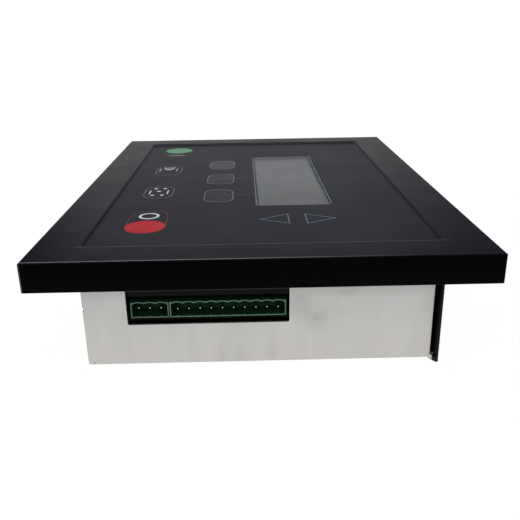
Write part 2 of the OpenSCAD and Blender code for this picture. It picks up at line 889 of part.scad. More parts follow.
// Black sheet that closes the right side, folded in over the back plate
module side_cover() {
    plate_l = housing_l + 2 * cover_proud;
    color([0.06, 0.06, 0.065]) difference() {
        union() {
            intersection() {
                box([cover_x0, -plate_l / 2, cover_lift], [cover_x0 + cover_t, plate_l / 2, wall_top]);
                translate([cover_x0 + cover_t / 2, 0, cover_lift])
                    along_x(cover_t + cut) round_bottom_profile(plate_l, wall_top, cover_tip_r);
            }
            box([cover_x0 - flange_w, -housing_l / 2 + flange_end, sheet_t],
                [cover_x0 + cover_t / 2, housing_l / 2 - flange_end, sheet_t + cover_t]);
        }
        at_flange_screws(0) cylinder(h = 3 * sheet_t, r = m3_hole_r);
        at_housing_screws() translate([0, 0, -2 * sheet_t]) cylinder(h = 3 * sheet_t, r = m3_hole_r);
    }
}

// Low countersunk screw, flush with the back plate
module csk_screw(l) {
    translate([0, 0, csk_gap]) cylinder(h = sheet_t - csk_gap, r1 = csk_r, r2 = m3_thread_r);
    translate([0, 0, sheet_t - csk_gap]) cylinder(h = l - sheet_t + csk_gap, r = m3_thread_r);
}

module floor_screws() {
    standoff_screw_l = 7;
    flange_screw_l = sheet_t + cover_t + flange_nut_h + 0.5;
    color([0.72, 0.72, 0.74]) {
        at_standoffs(0) csk_screw(standoff_screw_l);
        at_flange_screws(0) csk_screw(flange_screw_l);
    }
}

module flange_nuts() {
    color([0.72, 0.72, 0.74]) at_flange_screws(sheet_t + cover_t) difference() {
        cylinder(h = flange_nut_h, r = standoff_r, $fn = 6);
        translate([0, 0, -cut]) cylinder(h = flange_nut_h + 2 * cut, r = m3_pilot_r);
    }
}

module housing_screws() {
    color([0.72, 0.72, 0.74]) at_housing_screws() mirror([0, 0, 1]) pan_screw(housing_screw_l);
}

front_panel();
panel_inserts();
keypad_overlay();
overlay_spacer();
snap_domes();
membrane_circuit();
tail_socket();
display_window();
lcd_bezel();
lcd_glass();
backlight();
display_board();
display_screws();
main_board();
board_standoffs();
board_screws();
header_3_pole();
header_3_pole_pins();
header_10_pole();
header_10_pole_pins();
relays();
transformer();
capacitors();
controller_chip();
ribbon_sockets();
ribbon_plugs();
ribbon_cable();
rear_housing();
side_cover();
floor_screws();
flange_nuts();
housing_screws();
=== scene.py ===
"""Looks of a panel-mounted air compressor controller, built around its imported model."""

import logging
import math
from dataclasses import dataclass, field
from enum import Enum

import bmesh
import bpy
from mathutils import Matrix, Vector


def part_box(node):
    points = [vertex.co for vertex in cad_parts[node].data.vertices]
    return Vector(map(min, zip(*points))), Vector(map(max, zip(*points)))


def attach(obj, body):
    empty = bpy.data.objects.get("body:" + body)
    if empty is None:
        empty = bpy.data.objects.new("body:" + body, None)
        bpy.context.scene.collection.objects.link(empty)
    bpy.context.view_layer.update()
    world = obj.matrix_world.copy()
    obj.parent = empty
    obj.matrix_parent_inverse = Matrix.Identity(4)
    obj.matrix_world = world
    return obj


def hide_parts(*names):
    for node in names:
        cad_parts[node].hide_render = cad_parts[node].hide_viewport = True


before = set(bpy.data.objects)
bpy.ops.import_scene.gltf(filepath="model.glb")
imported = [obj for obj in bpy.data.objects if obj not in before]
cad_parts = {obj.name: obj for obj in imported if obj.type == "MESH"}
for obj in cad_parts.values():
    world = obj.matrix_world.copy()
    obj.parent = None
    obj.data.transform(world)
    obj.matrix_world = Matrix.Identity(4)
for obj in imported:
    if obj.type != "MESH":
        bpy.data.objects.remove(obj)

LOG = logging.getLogger("controller")
BODY = "root"
MM = 0.001

Colour = tuple[float, float, float]
Place = tuple[float, float, float]
Point = tuple[float, float]
Loop = list[Point]
Socket = bpy.types.NodeSocket


class Slot(str, Enum):
    """Material slots of the record that pieces made here take their finish from."""

    FILM = "overlay_film"
    BOARD_SOLDER = "pin_metal"
    RIBBON = "ribbon_plastic"
    PRINT_LINE = "print_line"
    PRINT_WHITE = "print_white"
    PRINT_GREEN = "print_green"
    PRINT_RED = "print_red"


class Axis(str, Enum):
    """Axes of the object coordinates."""

    X = "X"
    Y = "Y"
    Z = "Z"


class NodeTree:
    """Short helper that adds and joins the nodes of one tree."""

    tree: bpy.types.NodeTree

    def node(self, kind: str, **settings: object) -> bpy.types.Node:
        """Add a node and set its properties.

        Args:
            kind: Blender's type name of the node.
            settings: Properties to set on the node.

        Returns:
            The new node.
        """
        made = self.tree.nodes.new(kind)
        for key, value in settings.items():
            setattr(made, key, value)
        return made

    def link(self, source: Socket, target: Socket) -> None:
        """Join an output to an input."""
        self.tree.links.new(source, target)

    def give(self, value: Socket | float | tuple[float, ...], target: Socket) -> None:
        """Join an output to an input, or set the input to a written value.

        Args:
            value: Output, number or colour.
            target: Input that takes it.
        """
        if isinstance(value, Socket):
            self.link(value, target)
        else:
            target.default_value = value

    def math(self, operation: str, *values: Socket | float) -> Socket:
        """Run one or two values through an operation.

        Args:
            operation: Blender's name of the operation.
            values: Sockets or numbers.

        Returns:
            The result.
        """
        made = self.node("ShaderNodeMath", operation=operation)
        for target, value in zip(made.inputs, values):
            self.give(value, target)
        return made.outputs[0]


class ShaderTree(NodeTree):
    """Patterns for one material or world."""

    def __init__(self, tree: bpy.types.NodeTree, coordinates: str) -> None:
        """Start on the tree of a material or world, with the coordinates that its patterns read."""
        self.tree = tree
        self.place = self.node("ShaderNodeTexCoord").outputs[coordinates]

    def stretched(self, scale: Place) -> Socket:
        """Scale the coordinates along each axis.

        Args:
            scale: Factor for X, Y and Z.

        Returns:
            The scaled coordinates.
        """
        mapping = self.node("ShaderNodeMapping")
        mapping.inputs["Scale"].default_value = scale
        self.link(self.place, mapping.inputs["Vector"])
        return mapping.outputs["Vector"]

    def along(self, axis: Axis) -> Socket:
        """Read the place along an axis.

        Args:
            axis: Axis to read.

        Returns:
            The place in metres.
        """
        parts = self.node("ShaderNodeSeparateXYZ")
        self.link(self.place, parts.inputs[0])
        return parts.outputs[axis.value]

    def zone(self, axis: Axis, start: float, end: float) -> Socket:
        """Return 0 before start and 1 past end along an axis, in metres."""
        return self.spread(self.along(axis), 0.0, 1.0, start, end)

    def strip(self, axis: Axis, low: float, high: float, soft: float) -> Socket:
        """Return 1 between two places along an axis, with soft ends, in metres."""
        return self.math("SUBTRACT", self.zone(axis, low, low + soft), self.zone(axis, high - soft, high))

    def both(self, *masks: Socket) -> Socket:
        """Keep what several masks share.

        Args:
            masks: Masks from 0 to 1.

        Returns:
            The smallest of them.
        """
        whole = masks[0]
        for mask in masks[1:]:
            whole = self.math("MINIMUM", whole, mask)
        return whole

    def spot(self, centre: Place, radius: float, height: float) -> Socket:
        """Mark a soft blot round a place, with sizes in metres.

        Args:
            centre: Middle of the blot.
            radius: Distance across the surface at which it ends.
            height: Distance along Z at which it ends.

        Returns:
            The mask, 1 in the middle.
        """
        flatness = radius / height
        reach = self.node("ShaderNodeVectorMath", operation="DISTANCE")
        reach.inputs[1].default_value = (centre[0], centre[1], centre[2] * flatness)
        self.link(self.stretched((1.0, 1.0, flatness)), reach.inputs[0])
        return self.spread(reach.outputs["Value"], 1.0, 0.0, 0.0, radius)

    def grid(self, width: float, height: float, gap: float, offset: float = 0.0) -> Socket:
        """Draw the joints of a grid of bricks, with sizes in metres.

        Args:
            width: Length of a brick.
            height: Height of a row.
            gap: Width of a joint.
            offset: Shift of every second row, as a share of a brick.

        Returns:
            The mask, 1 in a joint.
        """
        bricks = self.node("ShaderNodeTexBrick", offset=offset, squash=1.0)
        for title, value in (("Scale", 1.0), ("Mortar Size", gap), ("Brick Width", width),
                             ("Row Height", height)):
            bricks.inputs[title].default_value = value
        self.link(self.place, bricks.inputs["Vector"])
        return bricks.outputs["Fac"]

    def noise(self, size: float, detail: float = 3.0, place: Socket | None = None) -> Socket:
        """Add a noise texture.

        Args:
            size: Size of its features in metres.
            detail: Number of finer layers.
            place: Coordinates to read, or the object's own.

        Returns:
            The noise, from 0 to 1.
        """
        made = self.node("ShaderNodeTexNoise")
        made.inputs["Scale"].default_value = 1 / size
        made.inputs["Detail"].default_value = detail
        self.link(place or self.place, made.inputs["Vector"])
        return made.outputs[0]

    def spread(self, source: Socket, low: float, high: float,
               start: float = 0.25, end: float = 0.75) -> Socket:
        """Map a value onto another range, clamped at its ends.

        Args:
            source: Value to map.
            low: Result at the start.
            high: Result at the end.
            start: Source value that gives low.
            end: Source value that gives high.

        Returns:
            The mapped value.
        """
        made = self.node("ShaderNodeMapRange")
        for target, value in zip(made.inputs[1:5], (start, end, low, high)):
            target.default_value = value
        self.link(source, made.inputs[0])
        return made.outputs[0]

    def blend(self, amount: Socket, first: Colour | Socket, second: Colour | Socket) -> Socket:
        """Mix two colours.

        Args:
            amount: Share of the second colour.
            first: Colour or socket at 0.
            second: Colour or socket at 1.

        Returns:
            The mixed colour.
        """
        made = self.node("ShaderNodeMix", data_type="RGBA")
        self.link(amount, made.inputs[0])
        for target, value in ((made.inputs[6], first), (made.inputs[7], second)):
            self.give((*value, 1) if isinstance(value, tuple) else value, target)
        return made.outputs[2]

    def seen(self) -> Socket:
        """Tell the rays that look at a surface from those that only light things with it.

        Returns:
            1 for camera, glossy and transmission rays and 0 for others.
        """
        rays = self.node("ShaderNodeLightPath").outputs
        mirrored = self.math("MAXIMUM", rays["Is Glossy Ray"], rays["Is Transmission Ray"])
        return self.math("MAXIMUM", rays["Is Camera Ray"], mirrored)


class MaterialTree(ShaderTree):
    """Nodes of a new material with a principled shader, in the object's own coordinates."""

    def __init__(self, name: str) -> None:
        """Start the material.

        Args:
            name: Name of the material.
        """
        self.material = bpy.data.materials.new(name)
        self.material.use_nodes = True
        super().__init__(self.material.node_tree, "Object")
        self.shader = self.tree.nodes["Principled BSDF"]

    def bump(self, height: Socket, depth: float) -> None:
        """Drive the shader's normal by a height.

        Args:
            height: Height from 0 to 1.
            depth: Height of 1, in metres.
        """
        made = self.node("ShaderNodeBump")
        made.inputs["Strength"].default_value = 1.0
        made.inputs["Distance"].default_value = depth
        self.link(height, made.inputs["Height"])
        self.link(made.outputs["Normal"], self.shader.inputs["Normal"])


def shade(colour: Colour, factor: float) -> Colour:
    """Return a colour made lighter or darker by a factor."""
    return tuple(min(1.0, channel * factor) for channel in colour)


@dataclass(frozen=True)
class Finish:
    """A surface whose colour, roughness and height wander a little, as on a real piece.

    Sizes and depths are in metres, and wear_share is the size of the dull patches as a share of
    the mottle's.
    """

    name: str
    colour: Colour
    roughness: float = 0.5
    metallic: float = 0.0
    specular: float = 0.5
    mottle: float = 0.08
    mottle_size: float = 0.02
    swing: float = 0.06
    wear_share: float = 0.6
    grain_size: float = 0.0005
    grain_depth: float = 0.00001
    coat: float = 0.0
    coat_roughness: float = 0.1
    alpha: float = 1.0

    def base(self, tree: ShaderTree) -> Socket:
        """Return the colour that wanders round the written one."""
        patches = tree.spread(tree.noise(self.mottle_size), 0.0, 1.0)
        return tree.blend(patches, shade(self.colour, 1 - self.mottle), shade(self.colour, 1 + self.mottle))

    def decorate(self, tree: ShaderTree, colour: Socket) -> Socket:
        """Return the colour with the finish's larger pattern, which a plain finish doesn't have."""
        return colour

    def material(self) -> bpy.types.Material:
        """Build the finish.

        Returns:
            The material.
        """
        tree = MaterialTree(self.name)
        inputs = tree.shader.inputs
        tree.link(self.decorate(tree, self.base(tree)), inputs["Base Color"])
        wear = tree.noise(self.mottle_size * self.wear_share, 4)
        rough = tree.spread(wear, self.roughness - self.swing, self.roughness + self.swing)
        tree.link(rough, inputs["Roughness"])
        tree.bump(tree.noise(self.grain_size, 2), self.grain_depth)
        for title, value in (("Metallic", self.metallic), ("Specular IOR Level", self.specular),
                             ("Coat Weight", self.coat), ("Coat Roughness", self.coat_roughness),
                             ("Alpha", self.alpha)):
            inputs[title].default_value = value
        return tree.material


@dataclass(frozen=True)
class BrushedMetal(Finish):
    """Metal with fine lines along Y."""

    line_size: float = 0.0015
    line_stretch: float = 0.04
    line_share: float = 0.5
    line_tone: float = 0.85

    def decorate(self, tree: ShaderTree, colour: Socket) -> Socket:
        """Draw the lines.

        Args:
            tree: Material under construction.
            colour: Plain metal.

        Returns:
            The colour with its lines.
        """
        place = tree.stretched((1.0, self.line_stretch, 1.0))
        lines = tree.spread(tree.noise(self.line_size, 3, place), 0.0, self.line_share)
        return tree.blend(lines, colour, shade(self.colour, self.line_tone))


@dataclass(frozen=True)
class PanelPlastic(Finish):
    """Black moulded plastic, with painted light on the collar and the recess walls, and painted highlights
    on its rim's left side, along its near top edge and along the recess's near lip.

    Places, heights and widths are in metres from the frame's origin.
    """

    soft: float = 0.0002
    rim_z: float = 0.0439
    face_z: float = 0.0570
    rim_low: Colour = (0.0016, 0.0016, 0.0015)
    rim_high: Colour = (0.0002, 0.0004, 0.0003)
    side_x: float = -0.1009
    side_w: float = 0.0008
    side_highlight: Colour = (0.050, 0.050, 0.052)
    collar_light_upper: Colour = (0.105, 0.105, 0.110)
    collar_light_lower: Colour = (0.0110, 0.0110, 0.0115)
    pale_from: float = 0.0362
    pale_fade: float = 0.0004
    wall_x: float = 0.0825
    wall_y: float = 0.1240
    wall_light_near: Colour = (0.036, 0.036, 0.039)
    wall_light_far: Colour = (0.090, 0.090, 0.096)
    wall_from: float = -0.065
    wall_to: float = 0.085
    end_wall_light: Colour = (0.054, 0.054, 0.057)
    end_y: float = 0.1216
    # Painted highlight along the recess's near lip.
    lip: Colour = (0.036, 0.036, 0.038)
    lip_y: float = -0.1222
    lip_w: float = 0.0010
    near_edge_highlight: Colour = (0.100, 0.100, 0.104)
    highlight_y: float = -0.1397
    highlight_z: float = 0.05722
    highlight_from: float = -0.012
    highlight_to: float = 0.065
    highlight_least: float = 0.1

    def walls(self, tree: ShaderTree, colour: Socket) -> Socket:
        """Tone the outer rim from its foot to its top, paint a highlight on the rim's left side, paint
        light on the walls of the recess and paint a highlight along its near lip.

        Args:
            tree: Material under construction.
            colour: Tone of the face.

        Returns:
            The colour with rim, walls and lip.
        """
        soft = self.soft
        top = tree.zone(Axis.Z, self.face_z, self.face_z + soft)
        rim = tree.blend(tree.zone(Axis.Z, self.rim_z, self.face_z), self.rim_low, self.rim_high)
        # Painted highlight: a pale upright line on the rim's left side, for the light on its rounded
        # corner.
        side = tree.strip(Axis.X, self.side_x - self.side_w / 2, self.side_x + self.side_w / 2, soft)
        rim = tree.blend(side, rim, self.side_highlight)
        inside = tree.strip(Axis.X, -self.wall_x, self.wall_x, soft)
        ends = tree.strip(Axis.Y, -self.wall_y, self.wall_y, soft)
        # Painted light: the recess walls are painted paler than the plastic, more so towards the far end
        # and on the far end wall, for the light they catch.
        wall = tree.blend(tree.zone(Axis.Y, self.wall_from, self.wall_to), self.wall_light_near, self.wall_light_far)
        wall = tree.blend(tree.zone(Axis.Y, self.end_y, self.end_y + soft), wall, self.end_wall_light)
        colour = tree.blend(top, tree.blend(tree.both(inside, ends), rim, wall), colour)
        # Painted highlight: a pale line on the top along the recess's near lip.
        lip = tree.strip(Axis.Y, self.lip_y - self.lip_w / 2, self.lip_y + self.lip_w / 2, soft)
        return tree.blend(tree.both(top, lip, inside), colour, self.lip)

    def decorate(self, tree: ShaderTree, colour: Socket) -> Socket:
        """Set the painted light on the walls and the collar and the painted highlight along the near edge.

        Args:
            tree: Material under construction.
            colour: Tone of the face.

        Returns:
            The colour of the whole panel.
        """
        soft = self.soft
        colour = self.walls(tree, colour)
        # Painted highlight: a pale line along the panel's near top edge, fading towards the right.
        along_edge = tree.zone(Axis.X, self.highlight_from, self.highlight_to)
        fade = tree.spread(along_edge, 1.0, self.highlight_least, 0.0, 1.0)
        near = tree.zone(Axis.Y, self.highlight_y, self.highlight_y - soft)
        edge = tree.zone(Axis.Z, self.highlight_z, self.highlight_z + soft / 3)
        colour = tree.blend(tree.both(edge, near, fade), colour, self.near_edge_highlight)
        # Painted light: the collar under the rim is painted paler than the plastic for the light it catches
        # from the floor, brightest in an upper band.
        height = tree.zone(Axis.Z, self.pale_from, self.pale_from + self.pale_fade)
        collar = tree.blend(height, self.collar_light_lower, self.collar_light_upper)
        return tree.blend(tree.zone(Axis.Z, self.rim_z, self.rim_z + soft), collar, colour)


@dataclass(frozen=True)
class HeaderPlastic(Finish):
    """Green plastic that is bright along its scalloped lip, with painted shade above the lip's arches and
    in its mouth, and greyer when short.

    Places and sizes are in metres from the frame's origin.
    """

    short_colour: Colour = (0.134, 0.201, 0.152)
    # Painted shade: inner and low colour the mouth, over colours the front between the arches.
    inner: Colour = (0.006, 0.040, 0.018)
    low: Colour = (0.018, 0.070, 0.040)
    over: Colour = (0.010, 0.028, 0.017)
    step: float = 0.00005
    mouth_y: float = -0.1233
    fade: float = 0.0002
    low_from: float = 0.0262
    low_to: float = 0.0240
    pitch: float = 0.00508
    short_x: float = -0.05155
    long_x: float = -0.01358
    between_x: float = -0.04273
    arch_z: float = 0.02557
    arch_r: float = 0.005
    arch_h: float = 0.0039
    lip: float = 0.00045

    def long_side(self, tree: ShaderTree) -> Socket:
        """Return 0 on the short header and 1 on the long one."""
        return tree.zone(Axis.X, self.between_x - self.step, self.between_x + self.step)

    def between_arches(self, tree: ShaderTree) -> Socket:
        """Mark the front above the lip's arches.

        Args:
            tree: Material under construction.

        Returns:
            The mask.
        """
        middle = tree.spread(self.long_side(tree), self.short_x, self.long_x, 0.0, 1.0)
        side = tree.math("PINGPONG", tree.math("SUBTRACT", tree.along(Axis.X), middle), self.pitch / 2)
        rise = tree.math("SUBTRACT", tree.along(Axis.Z), self.arch_z)
        squares = tree.math("ADD", tree.math("POWER", side, 2.0), tree.math("POWER", rise, 2.0))
        reach = self.arch_r + self.lip
        outside = tree.spread(tree.math("SQRT", squares), 0.0, 1.0, reach, reach + self.lip / 4)
        top = self.arch_z + self.arch_h
        return tree.both(outside, tree.zone(Axis.Z, top, top + 2 * self.step))

    def decorate(self, tree: ShaderTree, colour: Socket) -> Socket:
        """Grey the short header and paint shade between the arches and behind the lip.

        Args:
            tree: Material under construction.
            colour: Tone of the lip.

        Returns:
            The colour of both headers.
        """
        colour = tree.blend(self.long_side(tree), self.short_colour, colour)
        # Painted shade on the front between and above the lip's arches.
        colour = tree.blend(self.between_arches(tree), colour, self.over)
        # Painted shade in the mouth, less dark towards the bottom.
        depth = tree.zone(Axis.Y, self.mouth_y + self.fade / 5, self.mouth_y + self.fade)
        inner = tree.blend(tree.zone(Axis.Z, self.low_from, self.low_to), self.inner, self.low)
        return tree.blend(depth, colour, inner)


@dataclass(frozen=True)
class CircuitBoard(Finish):
    """Board with copper tracks under its mask and, where it has one, painted shade on its near edge."""

    edge_y: float = -0.1222
    edge_soft: float = 0.0002
    # Painted shade on the board's near edge.
    edge: Colour = (0.0035, 0.004, 0.003)
    track_gap: float = 0.00025
    track_l: float = 0.0127
    track_pitch: float = 0.00254
    track_shift: float = 0.37
    track_share: float = 0.6
    track_tone: float = 1.7
    near_edge: bool = True

    def decorate(self, tree: ShaderTree, colour: Socket) -> Socket:
        """Draw the tracks and the painted shade on the near edge.

        Args:
            tree: Material under construction.
            colour: Tone of the mask.

        Returns:
            The colour of the board.
        """
        joints = tree.grid(self.track_l, self.track_pitch, self.track_gap, self.track_shift)
        tracks = tree.spread(joints, 0.0, self.track_share, 0.0, 1.0)
        colour = tree.blend(tracks, colour, shade(self.colour, self.track_tone))
        if not self.near_edge:
            return colour
        # Painted shade: the near edge is painted near black, as it lies in shade behind the headers.
        return tree.blend(tree.zone(Axis.Y, self.edge_y, self.edge_y + self.edge_soft), self.edge, colour)


@dataclass(frozen=True)
class DisplayGlass(Finish):
    """Unlit display: fine cells, palest in the middle, with painted shade towards its near end and a
    darker, cooler painted reflection at its far end.
    """

    cell: float = 0.0005
    seam: float = 0.00004
    seam_share: float = 0.35
    seam_tone: float = 0.8
    near_shade_tone: float = 0.60
    near_from: float = -0.055
    near_to: float = 0.040
    far_from: float = 0.03
    far_to: float = 0.075
    far_reflection: Colour = (0.094, 0.096, 0.112)

    def decorate(self, tree: ShaderTree, colour: Socket) -> Socket:
        """Lay the painted shade towards the near end, the painted reflection at the far end, and the cells.

        Args:
            tree: Material under construction.
            colour: Tone of the middle.

        Returns:
            The colour of the display.
        """
        # Painted shade towards the near end and a painted reflection at the far end.
        near = tree.zone(Axis.Y, self.near_from, self.near_to)
        colour = tree.blend(near, shade(self.colour, self.near_shade_tone), colour)
        colour = tree.blend(tree.zone(Axis.Y, self.far_from, self.far_to), colour, self.far_reflection)
        seams = tree.spread(tree.grid(self.cell, self.cell, self.seam), 0.0, self.seam_share, 0.0, 1.0)
        return tree.blend(seams, colour, shade(self.colour, self.seam_tone))


@dataclass(frozen=True)
class KeyTone(Finish):
    """Key field with a painted sheen that grows towards the farthest key."""

    # Painted sheen on the far key.
    pale: Colour = (0.052, 0.050, 0.060)
    pale_from: float = -0.012
    pale_to: float = 0.045

    def decorate(self, tree: ShaderTree, colour: Socket) -> Socket:
        """Fade from the near keys' tone to the painted sheen on the far one."""
        return tree.blend(tree.zone(Axis.Y, self.pale_from, self.pale_to), colour, self.pale)


@dataclass(frozen=True)
class Stain:
    """A soft blot on the housing's near wall, in metres, darker by its tone."""

    x: float
    z: float
    radius: float
    height: float
    tone: float


@dataclass(frozen=True)
class GalvanisedSheet(Finish):
    """Zinc-coated sheet with crystals, smudges, painted shade under the rim and along its left and bottom
    folds, and the cover's black at its right corner.

    Places and sizes are in metres from the frame's origin. A range is the part of a noise that is
    mapped onto a pair of shares.
    """

    crystal_size: float = 0.009
    crystal_share: float = 0.3
    crystal_tone: float = 0.93
    smudge_size: float = 0.03
    smudge_stretch: float = 0.35
    smudge_shares: Point = (0.2, 0.8)
    smudge_range: Point = (0.4, 0.7)
    run_size: float = 0.006
    run_stretch: float = 0.15
    run_shares: Point = (0.0, 0.8)
    run_range: Point = (0.42, 0.72)
    run_tone: float = 0.92
    warm: Colour = (0.560, 0.530, 0.505)
    cool: Colour = (0.485, 0.488, 0.500)
    cool_share: float = 0.35
    warm_from: float = 0.018
    cool_from: float = 0.024
    rim_from: float = 0.0320
    rim_to: float = 0.0375
    under_rim_shade: float = 0.80
    near_y: float = -0.125
    left_x: float = -0.0815
    line: float = 0.0005
    # Painted shade along the left and bottom folds of the near wall.
    line_tone: float = 0.55
    corner_x: float = 0.0776
    corner_tone: Colour = (0.006, 0.006, 0.0065)
    blot_shares: Point = (0.45, 1.0)
    blot_range: Point = (0.3, 0.7)
    stains: tuple[Stain, ...] = (
        Stain(0.0160, 0.0310, 0.0095, 0.0110, 0.76), Stain(0.0240, 0.0220, 0.0070, 0.0080, 0.72),
        Stain(0.0382, 0.0368, 0.0070, 0.0045, 0.52), Stain(-0.0195, 0.0050, 0.0022, 0.0100, 0.80),
        Stain(-0.0105, 0.0050, 0.0040, 0.0080, 0.84), Stain(0.0036, 0.0050, 0.0045, 0.0080, 0.84))

    def zinc(self, tree: ShaderTree, colour: Socket) -> Socket:
        """Lay crystals, warm and cool smudges and upright runs over the plain zinc.

        Args:
            tree: Material under construction.
            colour: Plain zinc.

        Returns:
            The colour of a clean sheet.
        """
        cells = tree.node("ShaderNodeTexVoronoi")
        cells.inputs["Scale"].default_value = 1 / self.crystal_size
        tree.link(tree.place, cells.inputs["Vector"])
        share = tree.spread(tree.math("FRACT", cells.outputs["Color"]), 0.0, self.crystal_share, 0.0, 1.0)
        colour = tree.blend(share, colour, shade(self.colour, self.crystal_tone))
        patches = tree.noise(self.smudge_size, 2, tree.stretched((1.0, 1.0, self.smudge_stretch)))
        smudges = tree.spread(patches, *self.smudge_shares, *self.smudge_range)
        low = tree.both(tree.zone(Axis.Z, self.warm_from, 0.0), smudges)
        colour = tree.blend(low, colour, self.warm)
        high = tree.zone(Axis.Z, self.cool_from, self.rim_to)
        colour = tree.blend(tree.math("MULTIPLY", high, self.cool_share), colour, self.cool)
        runs = tree.noise(self.run_size, 3, tree.stretched((1.0, 1.0, self.run_stretch)))
        streaks = tree.spread(runs, *self.run_shares, *self.run_range)
        return tree.blend(streaks, colour, shade(self.colour, self.run_tone))

    def stained(self, tree: ShaderTree, colour: Socket) -> Socket:
        """Lay the stains on the near wall.

        Args:
            tree: Material under construction.
            colour: Clean sheet.

        Returns:
            The colour with its stains.
        """
        rough = tree.spread(tree.noise(self.run_size, 3), *self.blot_shares, *self.blot_range)
        for stain in self.stains:
            blot = tree.spot((stain.x, self.near_y, stain.z), stain.radius, stain.height)
            colour = tree.blend(tree.math("MULTIPLY", blot, rough), colour, shade(self.colour, stain.tone))
        return colour

    def decorate(self, tree: ShaderTree, colour: Socket) -> Socket:
        """Lay the zinc's pattern, the stains, the painted shade under the rim and along the folds, and the
        cover's black at the right corner.

        Args:
            tree: Material under construction.
            colour: Plain zinc.

        Returns:
            The colour of the housing.
        """
        colour = self.stained(tree, self.zinc(tree, colour))
        # Painted shade: a darker strip on the wall just under the panel's rim.
        strip = tree.zone(Axis.Z, self.rim_from, self.rim_to)
        colour = tree.blend(strip, colour, shade(self.colour, self.under_rim_shade))
        # Painted shade: the near wall is darker along its left and bottom folds.
        inside = tree.both(tree.zone(Axis.X, self.left_x, self.left_x + self.line),
                           tree.zone(Axis.Z, 0.0, self.line))
        behind = tree.zone(Axis.Y, self.near_y + self.line, self.near_y + 2 * self.line)
        plain = tree.math("MAXIMUM", inside, behind)
        colour = tree.blend(plain, shade(self.colour, self.line_tone), colour)
        corner = tree.both(tree.zone(Axis.X, self.corner_x, self.corner_x + self.line / 2),
                           tree.zone(Axis.Y, self.near_y, self.near_y - self.line))
        return tree.blend(corner, colour, self.corner_tone)


UNDER_PANE: Colour = (0.205, 0.208, 0.226)

CAD_FINISHES: dict[str, Finish] = {
    "panel_plastic": PanelPlastic(
        "moulded_panel", (0.0013, 0.0012, 0.0060), roughness=0.31, specular=0.0158,
        mottle_size=0.05, swing=0.035, grain_size=0.0007, grain_depth=0.000005),
    "insert_brass": BrushedMetal("turned_brass", (0.72, 0.50, 0.22), roughness=0.3, metallic=1.0),
    "overlay_film": Finish(
        "matt_keypad_film", (0.0083, 0.0088, 0.0138), roughness=0.44, specular=0.0205,
        mottle=0.05, mottle_size=0.06, swing=0.03, grain_size=0.0004, grain_depth=0.000004),
    "spacer_film": Finish("adhesive_film", UNDER_PANE, roughness=0.6, specular=0.1),
    "dome_steel": BrushedMetal("spring_steel", (0.6, 0.6, 0.6), roughness=0.25, metallic=1.0),
    "circuit_film": CircuitBoard(
        "printed_circuit_film", UNDER_PANE, roughness=0.45, near_edge=False),
    "socket_plastic": Finish("natural_nylon", (0.72, 0.69, 0.58), roughness=0.5),
    "window_pane": Finish(
        "hard_coated_pane", (0.05, 0.055, 0.06), roughness=0.25, specular=0.2, alpha=0.16,
        grain_depth=0.000002),
    "bezel_metal": Finish("grey_bezel", UNDER_PANE, roughness=0.5, specular=0.1),
    "lcd_glass": DisplayGlass(
        "unlit_display", (0.108, 0.119, 0.133), roughness=0.35, specular=0.1, mottle=0.04,
        mottle_size=0.05, grain_depth=0.000002),
    "light_guide": Finish("clear_guide", (0.8, 0.82, 0.8), roughness=0.2),
    "circuit_board": CircuitBoard("solder_mask", (0.010, 0.055, 0.028), specular=0.05),
    "screw_steel": Finish("zinc_plate", (0.6, 0.6, 0.6), roughness=0.3, metallic=1.0, mottle=0.12),
    "header_plastic": HeaderPlastic(
        "green_header", (0.13, 0.27, 0.175), roughness=0.45, specular=0.15, mottle=0.05),
    "pin_metal": Finish("tinned_pin", (0.78, 0.77, 0.74), roughness=0.22, metallic=1.0),
    "relay_plastic": Finish("relay_case", (0.02, 0.06, 0.17), roughness=0.35),
    "potting": Finish("potted_block", (0.035, 0.036, 0.045), roughness=0.55),
    "capacitor_can": Finish("sleeved_can", (0.03, 0.05, 0.12), roughness=0.25, coat=0.4),
    "chip_plastic": Finish("moulded_epoxy", (0.018, 0.018, 0.02), roughness=0.6),
    "connector_plastic": Finish("black_nylon", (0.016, 0.016, 0.018), roughness=0.5),
    "ribbon_plastic": Finish("flat_cable", (0.33, 0.34, 0.36), roughness=0.5),
    "housing_steel": GalvanisedSheet(
        "galvanised_sheet", (0.556, 0.549, 0.532), roughness=0.38, metallic=0.8, mottle=0.03,
        mottle_size=0.035, swing=0.07, grain_size=0.0012, grain_depth=0.000006),
    "cover_paint": Finish(
        "powder_coat", (0.006, 0.006, 0.0065), roughness=0.45, specular=0.1, grain_size=0.0006,
        grain_depth=0.00002),
}


def screen_ink(name: str, colour: Colour) -> Finish:
    """Return a matt screen-printing ink."""
    return Finish(name, colour, roughness=0.42, specular=0.02, mottle=0.05, grain_depth=0.000004)


PRINT_FINISHES: dict[Slot, Finish] = {
    Slot.PRINT_LINE: screen_ink("blue_line_ink", (0.130, 0.170, 0.250)),
    Slot.PRINT_WHITE: screen_ink("white_ink", (0.50, 0.49, 0.53)),
    Slot.PRINT_GREEN: screen_ink("green_ink", (0.100, 0.250, 0.148)),
    Slot.PRINT_RED: screen_ink("red_ink", (0.330, 0.012, 0.020)),
}
PALE_BAR = screen_ink("pale_bar_ink", (0.175, 0.160, 0.205))
DIM_WHITE = screen_ink("dim_white_ink", (0.30, 0.30, 0.32))
GREY_WHITE = screen_ink("grey_white_ink", (0.115, 0.115, 0.130))
WARM_LINE = screen_ink("warm_line_ink", (0.170, 0.145, 0.140))
DULL_GREEN_LINE = screen_ink("dull_green_line_ink", (0.045, 0.065, 0.055))
DULL_PINK_LINE = screen_ink("dull_pink_line_ink", (0.19, 0.030, 0.080))
SOFT_BLUE_LINE = screen_ink("soft_blue_line_ink", (0.095, 0.124, 0.178))
GREY_LINE = screen_ink("grey_line_ink", (0.075, 0.076, 0.082))
